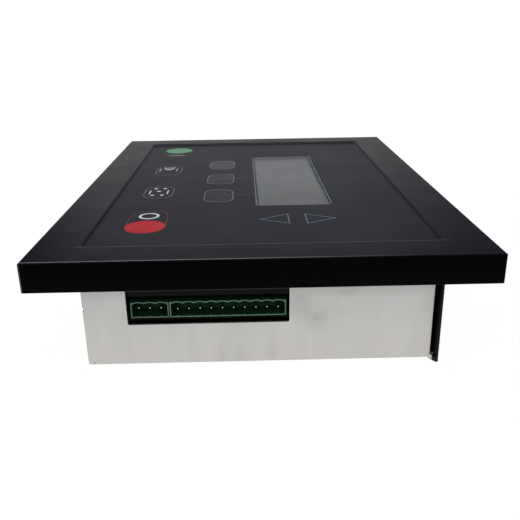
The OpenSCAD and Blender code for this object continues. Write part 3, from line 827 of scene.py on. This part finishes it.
BLACK = screen_ink("black_ink", (0.004, 0.006, 0.010))
SOFT_KEY_TONE = KeyTone(
    "soft_key_tone", (0.0190, 0.0190, 0.0255), roughness=0.44, specular=0.02, grain_depth=0.000004)
SOLDER = Finish("solder", (0.7, 0.7, 0.69), roughness=0.25, metallic=1.0)

ROUND_STEPS = 96
CORNER_STEPS = 6
ARC_STEPS = 24
STUD_SIDES = 32
CORE_SIDES = 10
LEAST_LEAN = 0.3
BEVELS_ACROSS = 5
REAL = "NodeSocketFloat"
WHOLE = "NodeSocketInt"


def dressed(obj: bpy.types.Object, material: bpy.types.Material) -> bpy.types.Object:
    """Finish a piece made here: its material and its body.

    Args:
        obj: Piece whose mesh is already in place.
        material: Its material.

    Returns:
        The piece.
    """
    obj.data.materials.clear()
    obj.data.materials.append(material)
    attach(obj, BODY)
    LOG.info("piece %s: %d faces", obj.name, len(obj.data.polygons))
    return obj


def linked(name: str, mesh: bpy.types.Mesh) -> bpy.types.Object:
    """Put a mesh or a curve into the scene.

    Args:
        name: Name of the object.
        mesh: Its data.

    Returns:
        The object.
    """
    obj = bpy.data.objects.new(name, mesh)
    bpy.context.scene.collection.objects.link(obj)
    return obj


def arc(centre: Point, radius: float, start: float, end: float, steps: int) -> Loop:
    """Return points on an arc, with both its ends, from start to end in degrees."""
    turn = [math.radians(start + (end - start) * i / steps) for i in range(steps + 1)]
    return [(centre[0] + radius * math.cos(a), centre[1] + radius * math.sin(a)) for a in turn]


def ellipse_arc(centre: Point, half: Point, start: float, end: float) -> Loop:
    """Return points on part of an ellipse with those half widths, from start to end in degrees."""
    unit = arc((0, 0), 1.0, start, end, ARC_STEPS)
    return [(centre[0] + x * half[0], centre[1] + y * half[1]) for x, y in unit]


def circle(centre: Point, radius: float) -> Loop:
    """Return a closed circle."""
    return arc(centre, radius, 0, 360, ROUND_STEPS)[:-1]


def rounded_box(centre: Point, width: float, length: float, radius: float) -> Loop:
    """Return a rectangle with round corners.

    Args:
        centre: Its middle.
        width: Size along X.
        length: Size along Y.
        radius: Radius of its corners.

    Returns:
        The outline, counter-clockwise.
    """
    loop: Loop = []
    for start, sx, sy in ((0, 1, 1), (90, -1, 1), (180, -1, -1), (270, 1, -1)):
        corner = (centre[0] + sx * (width / 2 - radius), centre[1] + sy * (length / 2 - radius))
        loop += arc(corner, radius, start, start + 90, CORNER_STEPS)
    return loop


def barrel(centre: Point, size: Point, powers: Point) -> Loop:
    """Return a superellipse, a rectangle whose sides bulge.

    Args:
        centre: Its middle.
        size: Its width along X and length along Y.
        powers: For X and for Y, 2 for an ellipse and squarer as they grow.

    Returns:
        The outline, counter-clockwise.
    """
    loop: Loop = []
    for i in range(ROUND_STEPS):
        angle = 2 * math.pi * i / ROUND_STEPS
        x, y = math.cos(angle), math.sin(angle)
        x = math.copysign(abs(x) ** (2 / powers[0]), x)
        y = math.copysign(abs(y) ** (2 / powers[1]), y)
        loop.append((centre[0] + x * size[0] / 2, centre[1] + y * size[1] / 2))
    return loop


def moved_in(loop: Loop, distance: float) -> Loop:
    """Return a closed outline moved inwards by a distance.

    Args:
        loop: Outline, counter-clockwise.
        distance: Distance to move each side.

    Returns:
        The inner outline, with as many points.
    """
    inner: Loop = []
    count = len(loop)
    for i, here in enumerate(loop):
        before = Vector(loop[i - 1])
        after = Vector(loop[(i + 1) % count])
        first = (Vector(here) - before).normalized()
        second = (after - Vector(here)).normalized()
        middle = (Vector((-first.y, first.x)) + Vector((-second.y, second.x))).normalized()
        lean = max(LEAST_LEAN, middle.dot(Vector((-first.y, first.x))))
        inner.append(tuple(Vector(here) + middle * (distance / lean)))
    return inner


def plate(name: str, loop: Loop, low: float, high: float, edge: float = 0.05) -> bpy.types.Mesh:
    """Make a closed thin plate with a small bevel round its top, all in millimetres."""
    rings = [(loop, low), (loop, high - edge / 2), (moved_in(loop, edge), high)]
    return stacked(name, rings, closed=True)


def band(name: str, loop: Loop, width: float, low: float, high: float) -> bpy.types.Mesh:
    """Make a closed line of a given width that follows an outline on its inner side.

    Args:
        name: Name of the mesh.
        loop: Outer outline in millimetres, counter-clockwise.
        width: Width of the line in millimetres.
        low: Height of its underside in millimetres.
        high: Height of its top in millimetres.

    Returns:
        The mesh.
    """
    edge = width / BEVELS_ACROSS
    rings = [(loop, low), (loop, (low + high) / 2), (moved_in(loop, edge), high),
             (moved_in(loop, width - edge), high), (moved_in(loop, width), (low + high) / 2),
             (moved_in(loop, width), low)]
    return stacked(name, rings, closed=False)


def stacked(name: str, rings: list[tuple[Loop, float]], closed: bool) -> bpy.types.Mesh:
    """Join outlines of equal length into one closed mesh.

    Args:
        name: Name of the mesh.
        rings: Outlines and heights in millimetres, in order.
        closed: True to cap the first and last ring, False to join the last to the first.

    Returns:
        The mesh, with its faces outwards.
    """
    made = bmesh.new()
    rows = [[made.verts.new((x * MM, y * MM, z * MM)) for x, y in loop] for loop, z in rings]
    count = len(rows[0])
    pairs = list(zip(rows, rows[1:]))
    if not closed:
        pairs.append((rows[-1], rows[0]))
    for lower, upper in pairs:
        for i in range(count):
            j = (i + 1) % count
            made.faces.new((lower[i], lower[j], upper[j], upper[i]))
    if closed:
        made.faces.new(list(reversed(rows[0])))
        made.faces.new(rows[-1])
    bmesh.ops.recalc_face_normals(made, faces=made.faces[:])
    mesh = bpy.data.meshes.new(name)
    made.to_mesh(mesh)
    made.free()
    return mesh


def joined(name: str, meshes: list[bpy.types.Mesh]) -> bpy.types.Mesh:
    """Put several meshes into one, each closed part by itself.

    Args:
        name: Name of the new mesh.
        meshes: Meshes to join, which are removed.

    Returns:
        The joined mesh.
    """
    made = bmesh.new()
    for mesh in meshes:
        made.from_mesh(mesh)
        bpy.data.meshes.remove(mesh)
    result = bpy.data.meshes.new(name)
    made.to_mesh(result)
    made.free()
    return result


class GeometryTree(NodeTree):
    """Geometry Nodes tree with named inputs, the last of which is its material."""

    def __init__(self, name: str, inputs: dict[str, str]) -> None:
        """Start a tree.

        Args:
            name: Name of the tree.
            inputs: Name and socket type of each input between the geometry and the material.
        """
        self.tree = bpy.data.node_groups.new(name, "GeometryNodeTree")
        face = self.tree.interface
        face.new_socket("Geometry", in_out="INPUT", socket_type="NodeSocketGeometry")
        for title, kind in (inputs | {"Material": "NodeSocketMaterial"}).items():
            face.new_socket(title, in_out="INPUT", socket_type=kind)
        face.new_socket("Geometry", in_out="OUTPUT", socket_type="NodeSocketGeometry")
        self.source = self.node("NodeGroupInput")
        self.target = self.node("NodeGroupOutput")

    def given(self, title: str) -> Socket:
        """Return one of the tree's inputs."""
        return self.source.outputs[title]

    def set_on_points(self, shape: Socket, places: Socket) -> None:
        """Set a copy of a shape on each point and end the tree.

        Args:
            shape: Geometry to repeat.
            places: Geometry with the points.
        """
        spots = self.node("GeometryNodeInstanceOnPoints")
        self.link(places, spots.inputs["Points"])
        self.link(shape, spots.inputs["Instance"])
        self.finish(spots.outputs[0])

    def finish(self, shape: Socket) -> None:
        """End the tree in Realize Instances and Set Material.

        Args:
            shape: Geometry to hand out.
        """
        real = self.node("GeometryNodeRealizeInstances")
        paint = self.node("GeometryNodeSetMaterial")
        self.link(shape, real.inputs[0])
        self.link(real.outputs[0], paint.inputs["Geometry"])
        self.link(self.given("Material"), paint.inputs["Material"])
        self.link(paint.outputs[0], self.target.inputs[0])

    def applied(self, name: str, source: bpy.types.ID, values: dict[str, object]) -> bpy.types.Mesh:
        """Run the tree on a mesh or a curve and keep the result as a plain mesh.

        Args:
            name: Name of the result.
            source: Mesh or curve data that the tree reads.
            values: Value of each named input.

        Returns:
            The mesh.
        """
        carrier = linked(name + ".source", source)
        modifier = carrier.modifiers.new(name, "NODES")
        modifier.node_group = self.tree
        for item in self.tree.interface.items_tree:
            if item.in_out == "INPUT" and item.name in values:
                modifier[item.identifier] = values[item.name]
        bpy.context.view_layer.update()
        graph = bpy.context.evaluated_depsgraph_get()
        mesh = bpy.data.meshes.new_from_object(carrier.evaluated_get(graph))
        mesh.name = name
        bpy.data.objects.remove(carrier)
        return mesh


def points(name: str, places: list[Place]) -> bpy.types.Mesh:
    """Make a mesh of loose points.

    Args:
        name: Name of the mesh.
        places: Places in millimetres.

    Returns:
        The mesh.
    """
    mesh = bpy.data.meshes.new(name)
    mesh.from_pydata([tuple(c * MM for c in place) for place in places], [], [])
    return mesh


def key_outline_tree() -> GeometryTree:
    """Build the tree that draws a bulging key outline round each point.

    Returns:
        The tree, with inputs Width, Length, Power X, Power Y, Line, Height and Material.
    """
    titles = ("Width", "Length", "Power X", "Power Y", "Line", "Height")
    tree = GeometryTree("key_outline", {title: REAL for title in titles})
    ring = tree.node("GeometryNodeCurvePrimitiveCircle")
    ring.inputs["Resolution"].default_value = ROUND_STEPS
    ring.inputs["Radius"].default_value = 1.0
    place = tree.node("GeometryNodeInputPosition")
    parts = tree.node("ShaderNodeSeparateXYZ")
    tree.link(place.outputs[0], parts.inputs[0])
    whole = tree.node("ShaderNodeCombineXYZ")
    for axis, (title, power) in enumerate((("Width", "Power X"), ("Length", "Power Y"))):
        share = tree.math("DIVIDE", 2.0, tree.given(power))
        size = tree.math("POWER", tree.math("ABSOLUTE", parts.outputs[axis]), share)
        signed = tree.math("MULTIPLY", size, tree.math("SIGN", parts.outputs[axis]))
        inset = tree.math("SUBTRACT", tree.given(title), tree.given("Line"))
        half = tree.math("MULTIPLY", inset, 0.5)
        tree.link(tree.math("MULTIPLY", signed, half), whole.inputs[axis])
    bent = tree.node("GeometryNodeSetPosition")
    tree.link(ring.outputs["Curve"], bent.inputs["Geometry"])
    tree.link(whole.outputs[0], bent.inputs["Position"])
    upright = tree.node("GeometryNodeSetCurveNormal", mode="Z_UP")
    tree.link(bent.outputs[0], upright.inputs["Curve"])
    section = tree.node("GeometryNodeCurvePrimitiveQuadrilateral", mode="RECTANGLE")
    tree.link(tree.given("Line"), section.inputs["Width"])
    tree.link(tree.given("Height"), section.inputs["Height"])
    sweep = tree.node("GeometryNodeCurveToMesh")
    tree.link(upright.outputs[0], sweep.inputs["Curve"])
    tree.link(section.outputs[0], sweep.inputs["Profile Curve"])
    tree.set_on_points(sweep.outputs[0], tree.given("Geometry"))
    return tree


def stud_tree() -> GeometryTree:
    """Build the tree that sets a small tapered stud on each point.

    Returns:
        The tree, with inputs Radius, Top, Height and Material.
    """
    tree = GeometryTree("studs", {title: REAL for title in ("Radius", "Top", "Height")})
    cone = tree.node("GeometryNodeMeshCone", fill_type="NGON")
    cone.inputs["Vertices"].default_value = STUD_SIDES
    for title, socket in (("Radius", "Radius Bottom"), ("Top", "Radius Top"), ("Height", "Depth")):
        tree.link(tree.given(title), cone.inputs[socket])
    tree.set_on_points(cone.outputs["Mesh"], tree.given("Geometry"))
    return tree


def ribbon_tree() -> GeometryTree:
    """Build the tree that lays round cores side by side along a curve.

    Returns:
        The tree, with inputs Radius, Pitch, Cores and Material.
    """
    tree = GeometryTree("ribbon_cores", {"Radius": REAL, "Pitch": REAL, "Cores": WHOLE})
    section = tree.node("GeometryNodeCurvePrimitiveCircle")
    section.inputs["Resolution"].default_value = CORE_SIDES
    tree.link(tree.given("Radius"), section.inputs["Radius"])
    sweep = tree.node("GeometryNodeCurveToMesh")
    sweep.inputs["Fill Caps"].default_value = True
    tree.link(tree.given("Geometry"), sweep.inputs["Curve"])
    tree.link(section.outputs[0], sweep.inputs["Profile Curve"])
    step = tree.node("ShaderNodeCombineXYZ")
    tree.link(tree.given("Pitch"), step.inputs["Y"])
    row = tree.node("GeometryNodeMeshLine")
    tree.link(tree.given("Cores"), row.inputs["Count"])
    tree.link(step.outputs[0], row.inputs["Offset"])
    tree.set_on_points(sweep.outputs[0], row.outputs[0])
    return tree


@dataclass
class KeyOutline:
    """One kind of printed key outline, in millimetres."""

    name: str
    centres: list[Point]
    size: Point
    powers: Point
    line: float
    finish: Finish
    slot: Slot

    def inputs(self, height: float, material: bpy.types.Material) -> dict[str, object]:
        """Return the values that its tree takes.

        Args:
            height: Height of the ink in millimetres.
            material: Material of the ink.

        Returns:
            The value of each named input.
        """
        return {"Width": self.size[0] * MM, "Length": self.size[1] * MM, "Power X": self.powers[0],
                "Power Y": self.powers[1], "Line": self.line * MM, "Height": height * MM,
                "Material": material}


@dataclass
class KeypadPrints:
    """Prints on the keypad film, in millimetres, slightly askew as a whole.

    A pair is a place from the panel's middle or a size, along X and then along Y.
    """

    askew: float = 0.45
    ink_h: float = 0.03
    disc_layers: float = 1.5
    field_layers: float = 0.6
    gap_layers: float = 0.5
    line_w: float = 0.45
    thin_w: float = 0.36
    disc_r: float = 9.9
    start_disc: Point = (-57.3, 101.1)
    stop_disc: Point = (-57.0, -90.1)
    start_bar: Point = (-57.3, 83.1)
    start_bar_size: Point = (11.0, 2.7)
    start_bar_r: float = 0.6
    stop_ring: Point = (-57.3, -72.1)
    ring_r: float = 5.25
    ring_w: float = 1.35
    start_key: Point = (-57.2, 94.0)
    start_key_size: Point = (20.2, 35.0)
    stop_key: Point = (-57.0, -81.6)
    stop_key_size: Point = (19.6, 38.0)
    icon_key_size: Point = (17.1, 26.8)
    key_powers: Point = (3.0, 3.4)
    soft_x: float = -23.0
    soft_y: float = 6.4
    soft_pitch: float = 40.6
    soft_size: Point = (16.7, 27.2)
    soft_powers: Point = (2.6, 5.0)
    bar_l: float = 8.6
    bar_w: float = 0.75
    bar_round: float = 2.1
    bowl_key: Point = (-57.95, 33.4)
    bowl_bars: Point = (-6.1, 5.0)
    bowl_bars_y: float = 1.4
    bowl_at: Point = (-0.4, 10.2)
    bowl_outer: Point = (3.8, 9.5)
    bowl_inner: Point = (2.9, 6.38)
    bowl_filling: Point = (2.8, 6.02)
    bowl_from: float = 184
    bowl_to: float = 356
    dots_key: Point = (-57.9, -23.9)
    dots_bars: Point = (-5.3, 5.0)
    dots_bars_y: float = 0.2
    dots: tuple[Point, ...] = ((-2.7, 8.4), (2.6, 8.4), (-0.3, 1.9), (-3.2, -6.7), (2.4, -6.6))
    dot_r: float = 1.15
    dot_top_r: float = 1.1
    left_arrow: tuple[Point, ...] = ((-1.5, -81.8), (13.55, -89.7), (13.55, -73.2))
    right_arrow: tuple[Point, ...] = ((37.3, -82.2), (22.0, -73.6), (22.0, -90.4))
    window_sides: Point = (-1.90, 38.45)
    window_ends: Point = (-54.5, 71.5)
    side_w: float = 0.66
    side_gap: float = 0.65
    gap_short: float = 1.0
    lead_x: float = -8.0
    lead_shift: float = 1.6
    lead_size: Point = (11.5, 0.5)
    line_end_r: float = 0.2
    inks: dict[Slot, bpy.types.Material] = field(default_factory=dict)

    @property
    def film_z(self) -> float:
        """Height of the film's top."""
        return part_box("keypad_overlay")[1][2] / MM

    @property
    def turn(self) -> Matrix:
        """Turn of the whole print about the panel's middle."""
        return Matrix.Rotation(math.radians(self.askew), 4, "Z")

    @property
    def soft_centres(self) -> list[Point]:
        """Middles of the three keys beside the display."""
        return [(self.soft_x, self.soft_y + i * self.soft_pitch) for i in (-1, 0, 1)]

    def ink(self, slot: Slot) -> bpy.types.Material:
        """Return the shared material of an ink.

        Args:
            slot: Slot of the ink.

        Returns:
            The material, made at its first use.
        """
        if slot not in self.inks:
            self.inks[slot] = PRINT_FINISHES[slot].material()
        return self.inks[slot]

    def laid(self, name: str, mesh: bpy.types.Mesh, slot: Slot,
             material: bpy.types.Material | None = None) -> bpy.types.Object:
        """Put one printed mesh, not yet askew, in its place, in its slot's ink or another material."""
        mesh.transform(self.turn)
        return dressed(linked(name, mesh), material or self.ink(slot))

    def lay(self, name: str, meshes: list[bpy.types.Mesh], slot: Slot,
            finish: Finish | None = None) -> bpy.types.Object:
        """Join meshes into one printed piece, in its slot's ink or in another finish."""
        return self.laid(name, joined(name, meshes), slot, finish.material() if finish else None)

    def flat(self, loop: Loop, layers: float = 1.0) -> bpy.types.Mesh:
        """Return a printed field with that outline, some layers of ink high."""
        return plate("field", loop, self.film_z, self.film_z + layers * self.ink_h)

    def line(self, loop: Loop, width: float) -> bpy.types.Mesh:
        """Return a printed line along that outline."""
        return band("line", loop, width, self.film_z, self.film_z + self.ink_h)

    def discs(self) -> None:
        """Print the green and the red disc."""
        for name, centre, slot in (("start_disc", self.start_disc, Slot.PRINT_GREEN),
                                   ("stop_disc", self.stop_disc, Slot.PRINT_RED)):
            self.lay(name, [self.flat(circle(centre, self.disc_r), self.disc_layers)], slot)

    def symbols(self) -> None:
        """Print the bar beside the start key and the ring beside the stop key."""
        bar = rounded_box(self.start_bar, *self.start_bar_size, self.start_bar_r)
        self.lay("start_bar", [self.flat(bar)], Slot.PRINT_WHITE, PALE_BAR)
        ring = self.line(circle(self.stop_ring, self.ring_r), self.ring_w)
        self.lay("stop_ring", [ring], Slot.PRINT_WHITE)

    def outlines(self) -> None:
        """Draw every key outline with one Geometry Nodes tree."""
        tree = key_outline_tree()
        kinds = [
            KeyOutline("soft_key_outlines", self.soft_centres, self.soft_size, self.soft_powers,
                       self.line_w, PRINT_FINISHES[Slot.PRINT_LINE], Slot.PRINT_LINE),
            KeyOutline("icon_key_outlines", [self.bowl_key, self.dots_key], self.icon_key_size,
                       self.key_powers, self.line_w, WARM_LINE, Slot.PRINT_WHITE),
            KeyOutline("start_key_outline", [self.start_key], self.start_key_size, self.key_powers,
                       self.thin_w, DULL_GREEN_LINE, Slot.PRINT_GREEN),
            KeyOutline("stop_key_outline", [self.stop_key], self.stop_key_size, self.key_powers,
                       self.thin_w, DULL_PINK_LINE, Slot.PRINT_RED),
        ]
        middle_z = self.film_z + self.ink_h / 2
        for kind in kinds:
            source = points(kind.name, [(x, y, middle_z) for x, y in kind.centres])
            material = kind.finish.material()
            mesh = tree.applied(kind.name, source, kind.inputs(self.ink_h, material))
            self.laid(kind.name, mesh, kind.slot, material)

    def soft_fills(self) -> None:
        """Fill the three keys beside the display with a slightly paler tone."""
        size = tuple(whole - 2 * self.line_w for whole in self.soft_size)
        loops = [barrel(centre, size, self.soft_powers) for centre in self.soft_centres]
        fields = [self.flat(loop, self.field_layers) for loop in loops]
        self.lay("soft_key_fields", fields, Slot.FILM, SOFT_KEY_TONE)

    def upright_bars(self, centre: Point, sides: Point, shift: float) -> list[bpy.types.Mesh]:
        """Return the bars at both sides of an icon.

        Args:
            centre: Middle of the icon's key.
            sides: Distance of each bar from it along X.
            shift: Distance of both bars from it along Y.

        Returns:
            The two bars.
        """
        middles = [(centre[0] + side, centre[1] + shift) for side in sides]
        radius = self.bar_w / self.bar_round
        boxes = [rounded_box(middle, self.bar_w, self.bar_l, radius) for middle in middles]
        return [self.flat(box) for box in boxes]

    def bowl_icon(self) -> None:
        """Print the first generic icon, a bowl between bars."""
        centre = (self.bowl_key[0] + self.bowl_at[0], self.bowl_key[1] + self.bowl_at[1])
        outer = ellipse_arc(centre, self.bowl_outer, self.bowl_from, self.bowl_to)
        inner = ellipse_arc(centre, self.bowl_inner, self.bowl_to, self.bowl_from)
        bars = self.upright_bars(self.bowl_key, self.bowl_bars, self.bowl_bars_y)
        self.lay("bowl_icon", [*bars, self.flat(outer + inner)], Slot.PRINT_WHITE, DIM_WHITE)
        filling = ellipse_arc(centre, self.bowl_filling, self.bowl_from, self.bowl_to)
        self.lay("bowl_filling", [self.flat(filling, self.field_layers)], Slot.PRINT_WHITE, GREY_WHITE)

    def dots_icon(self) -> None:
        """Print the second generic icon, five dots between bars."""
        bars = self.upright_bars(self.dots_key, self.dots_bars, self.dots_bars_y)
        self.lay("icon_bars", bars, Slot.PRINT_WHITE)
        x, y = self.dots_key
        source = points("icon_dots", [(x + dx, y + dy, self.film_z) for dx, dy in self.dots])
        material = self.ink(Slot.PRINT_WHITE)
        mesh = stud_tree().applied("icon_dots", source, {
            "Radius": self.dot_r * MM, "Top": self.dot_top_r * MM, "Height": self.ink_h * MM,
            "Material": material})
        self.laid("icon_dots", mesh, Slot.PRINT_WHITE, material)

    def arrows(self) -> None:
        """Draw the two triangular arrow outlines below the display."""
        lines = [self.line(list(loop), self.line_w) for loop in (self.left_arrow, self.right_arrow)]
        self.lay("arrow_outlines", lines, Slot.PRINT_LINE)

    def window_lines(self) -> None:
        """Draw the lines along the window, their dark inner edges and the leads from the soft keys."""
        low, high = self.window_ends
        middle, length = (low + high) / 2, high - low
        left, right = self.window_sides
        sides = [rounded_box((x, middle), self.side_w, length, self.line_end_r) for x in (left, right)]
        self.lay("window_side_lines", [self.flat(side) for side in sides], Slot.PRINT_LINE,
                 SOFT_BLUE_LINE)
        inset = (self.side_w + self.side_gap) / 2
        gaps = [rounded_box((x, middle), self.side_gap, length - self.gap_short, self.line_end_r / 2)
                for x in (left + inset, right - inset)]
        fields = [self.flat(gap, self.gap_layers) for gap in gaps]
        self.lay("window_side_gaps", fields, Slot.PRINT_LINE, BLACK)
        leads = [rounded_box((self.lead_x, y + self.lead_shift), *self.lead_size, self.line_end_r)
                 for _, y in self.soft_centres]
        self.lay("soft_key_leads", [self.flat(lead) for lead in leads], Slot.PRINT_LINE, GREY_LINE)

    def build(self) -> None:
        """Print the whole keypad."""
        self.soft_fills()
        self.outlines()
        self.discs()
        self.symbols()
        self.bowl_icon()
        self.dots_icon()
        self.arrows()
        self.window_lines()


@dataclass
class BoardJoints:
    """Solder joints at the terminal pins, in millimetres."""

    pitch: float = 5.08
    leg_in: float = 0.5
    foot_r: float = 1.15
    tip_r: float = 0.62
    height: float = 0.9

    def pin_places(self, node: str, count: int) -> list[Point]:
        """Return where the legs of a header's pins pass through the board.

        Args:
            node: Name of the pins' node.
            count: Number of pins.

        Returns:
            The middle of each leg.
        """
        low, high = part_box(node)
        middle = (low[0] + high[0]) / 2 / MM
        y = high[1] / MM - self.leg_in
        return [(middle + (i - (count - 1) / 2) * self.pitch, y) for i in range(count)]

    def build(self) -> None:
        """Set a solder cone at each leg under the board."""
        places = self.pin_places("header_3_pole_pins", 3) + self.pin_places("header_10_pole_pins", 10)
        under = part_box("main_board")[0][2] / MM
        source = points("solder", [(x, y, -under) for x, y in places])
        material = SOLDER.material()
        mesh = stud_tree().applied("solder_joints", source, {
            "Radius": self.foot_r * MM, "Top": self.tip_r * MM, "Height": self.height * MM,
            "Material": material})
        mesh.transform(Matrix.Diagonal((1, 1, -1, 1)))
        mesh.flip_normals()
        dressed(linked("solder_joints", mesh), material)


@dataclass
class RibbonCable:
    """Flat cable of round cores between the two boards, in millimetres."""

    cores: int = 16
    pitch: float = 1.27
    core_r: float = 0.45
    sag: float = 3.0
    start_z: float = 34.8
    end_z: float = 34.0
    steps: int = 24

    def build(self) -> None:
        """Lay the cores along the CAD cable's route and stand in for it."""
        low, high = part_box("ribbon_cable")
        x0, x1, y0 = low[0] / MM, high[0] / MM, low[1] / MM
        curve = bpy.data.curves.new("ribbon_route", "CURVE")
        curve.dimensions = "3D"
        spline = curve.splines.new("POLY")
        spline.points.add(self.steps)
        for i, point in enumerate(spline.points):
            share = i / self.steps
            drop = (self.end_z - self.start_z) * (1 - math.cos(math.pi * share)) / 2
            z = self.start_z + drop - self.sag * math.sin(math.pi * share)
            point.co = ((x0 + (x1 - x0) * share) * MM, (y0 + self.pitch / 2) * MM, z * MM, 1)
        material = CAD_FINISHES["ribbon_plastic"].material()
        mesh = ribbon_tree().applied("ribbon_cores", curve, {
            "Radius": self.core_r * MM, "Pitch": self.pitch * MM, "Cores": self.cores,
            "Material": material})
        piece = dressed(linked("ribbon_cores", mesh), material)
        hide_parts("ribbon_cable")


@dataclass
class Enclosure:
    """The CAD pieces, which keep their shape and get their finishes."""

    def build(self) -> None:
        """Give every CAD node the finish of its material slot."""
        made: dict[str, bpy.types.Material] = {}
        for name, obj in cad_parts.items():
            slot = obj.material_slots[0].material.name.split(".")[0]
            if slot not in made:
                made[slot] = CAD_FINISHES[slot].material()
            obj.material_slots[0].material = made[slot]
            LOG.info("node %s: %s", name, made[slot].name)


@dataclass(frozen=True)
class Lamp:
    """A soft rectangular lamp, in metres and watts."""

    name: str
    place: Place
    size: Point
    power: float

    def hang(self, target: Place) -> None:
        """Add the lamp and point it at a target.

        Args:
            target: Place that it points at.
        """
        data = bpy.data.lights.new(self.name, "AREA")
        data.shape = "RECTANGLE"
        data.size, data.size_y = self.size
        data.energy = self.power
        lamp = bpy.data.objects.new(self.name, data)
        aim = (Vector(target) - Vector(self.place)).to_track_quat("-Z", "Y")
        lamp.matrix_world = Matrix.Translation(self.place) @ aim.to_matrix().to_4x4()
        bpy.context.scene.collection.objects.link(lamp)


@dataclass
class Studio:
    """Camera, floor, world and lamps, with sizes in metres and turns in radians.

    The world is dimmer at both sides, from left_from to left_to and from right_from to right_to
    along a ray's X, but only for rays whose Y is above ahead_to.
    """

    focal_px: float = 638.71
    frame_px: float = 520.0
    sensor: float = 36.0
    place: Place = (-0.005417, -0.38692, 0.14945)
    pitch: float = 0.36031
    yaw: float = 0.01573
    roll: float = -0.01505
    ambient: float = 0.45
    left_from: float = -0.24
    left_to: float = -0.355
    left_tone: float = 0.05
    right_from: float = 0.16
    right_to: float = 0.40
    right_tone: float = 0.22
    ahead_from: float = 0.4
    ahead_to: float = 0.1
    floor_size: float = 6.0
    floor_z: float = -0.0001
    floor_tone: Colour = (0.86, 0.86, 0.86)
    floor_rough: float = 0.9
    floor_shine: float = 0.1
    near_white: float = 0.985
    shadow_in: float = 0.22
    shadow_out: float = 0.42
    target: Place = (0.0, 0.0, 0.03)
    lamps: tuple[Lamp, ...] = (
        Lamp("strip", (0.0, -0.62, 0.80), (1.1, 0.16), 3.5),
        Lamp("key", (-0.55, -0.6, 0.75), (0.5, 0.5), 3.0),
        Lamp("fill", (0.1, 0.2, 1.05), (0.7, 0.7), 2.8))

    def camera(self) -> None:
        """Put the camera where the photograph was taken from."""
        ahead = Vector((math.sin(self.yaw) * math.cos(self.pitch),
                        math.cos(self.yaw) * math.cos(self.pitch), -math.sin(self.pitch)))
        level = Vector((math.cos(self.yaw), -math.sin(self.yaw), 0))
        upright = level.cross(ahead)
        right = level * math.cos(self.roll) + upright * math.sin(self.roll)
        up = upright * math.cos(self.roll) - level * math.sin(self.roll)
        turn = Matrix((right, up, -ahead)).transposed().to_4x4()
        data = bpy.data.cameras.new("camera")
        data.sensor_width = self.sensor
        data.lens = self.focal_px / self.frame_px * self.sensor
        data.clip_start = 0.01
        camera = bpy.data.objects.new("camera", data)
        camera.matrix_world = Matrix.Translation(self.place) @ turn
        bpy.context.scene.collection.objects.link(camera)
        bpy.context.scene.camera = camera

    def world(self) -> None:
        """Make a white surround that lights the object softly and is dimmer at both sides in gloss."""
        world = bpy.data.worlds.new("surround")
        world.use_nodes = True
        tree = ShaderTree(world.node_tree, "Generated")
        left = tree.spread(tree.zone(Axis.X, self.left_from, self.left_to), 1.0, self.left_tone, 0.0, 1.0)
        right = tree.spread(
            tree.zone(Axis.X, self.right_from, self.right_to), 1.0, self.right_tone, 0.0, 1.0)
        ahead = tree.zone(Axis.Y, self.ahead_from, self.ahead_to)
        sides = tree.math("MAXIMUM", tree.both(left, right), ahead)
        camera_ray = tree.node("ShaderNodeLightPath").outputs["Is Camera Ray"]
        level = tree.node("ShaderNodeMapRange")
        level.inputs["To Min"].default_value = self.ambient
        tree.link(tree.math("MAXIMUM", sides, camera_ray), level.inputs["To Max"])
        tree.link(tree.seen(), level.inputs["Value"])
        sky = tree.tree.nodes["Background"]
        sky.inputs["Color"].default_value = (1, 1, 1, 1)
        tree.link(level.outputs[0], sky.inputs["Strength"])
        bpy.context.scene.world = world

    def floor(self) -> None:
        """Make a white floor that keeps a soft shadow near the object."""
        half = self.floor_size / 2
        low = self.floor_z
        mesh = bpy.data.meshes.new("floor")
        edge = [(-half, -half, low), (half, -half, low), (half, half, low), (-half, half, low)]
        mesh.from_pydata(edge, [], [(0, 1, 2, 3)])
        floor = linked("floor", mesh)
        tree = MaterialTree("floor_white")
        tree.shader.inputs["Base Color"].default_value = (*self.floor_tone, 1)
        tree.shader.inputs["Roughness"].default_value = self.floor_rough
        tree.shader.inputs["Specular IOR Level"].default_value = self.floor_shine
        distance = tree.node("ShaderNodeVectorMath", operation="LENGTH")
        tree.link(tree.place, distance.inputs[0])
        reach = distance.outputs["Value"]
        white = tree.spread(reach, self.near_white, 1.0, self.shadow_in, self.shadow_out)
        share = tree.math("MULTIPLY", tree.seen(), white)
        glow = tree.node("ShaderNodeEmission")
        mix = tree.node("ShaderNodeMixShader")
        tree.link(share, mix.inputs[0])
        tree.link(tree.shader.outputs[0], mix.inputs[1])
        tree.link(glow.outputs[0], mix.inputs[2])
        tree.link(mix.outputs[0], tree.tree.nodes["Material Output"].inputs["Surface"])
        mesh.materials.append(tree.material)

    def build(self) -> None:
        """Set up the whole studio."""
        self.camera()
        self.world()
        self.floor()
        for lamp in self.lamps:
            lamp.hang(self.target)
        bpy.context.scene.view_settings.view_transform = "Standard"


def main() -> None:
    """Build the studio and the controller."""
    logging.basicConfig(level=logging.INFO, format="%(name)s: %(message)s")
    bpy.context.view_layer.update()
    Studio().build()
    Enclosure().build()
    KeypadPrints().build()
    BoardJoints().build()
    RibbonCable().build()


if __name__ == "__main__":
    main()
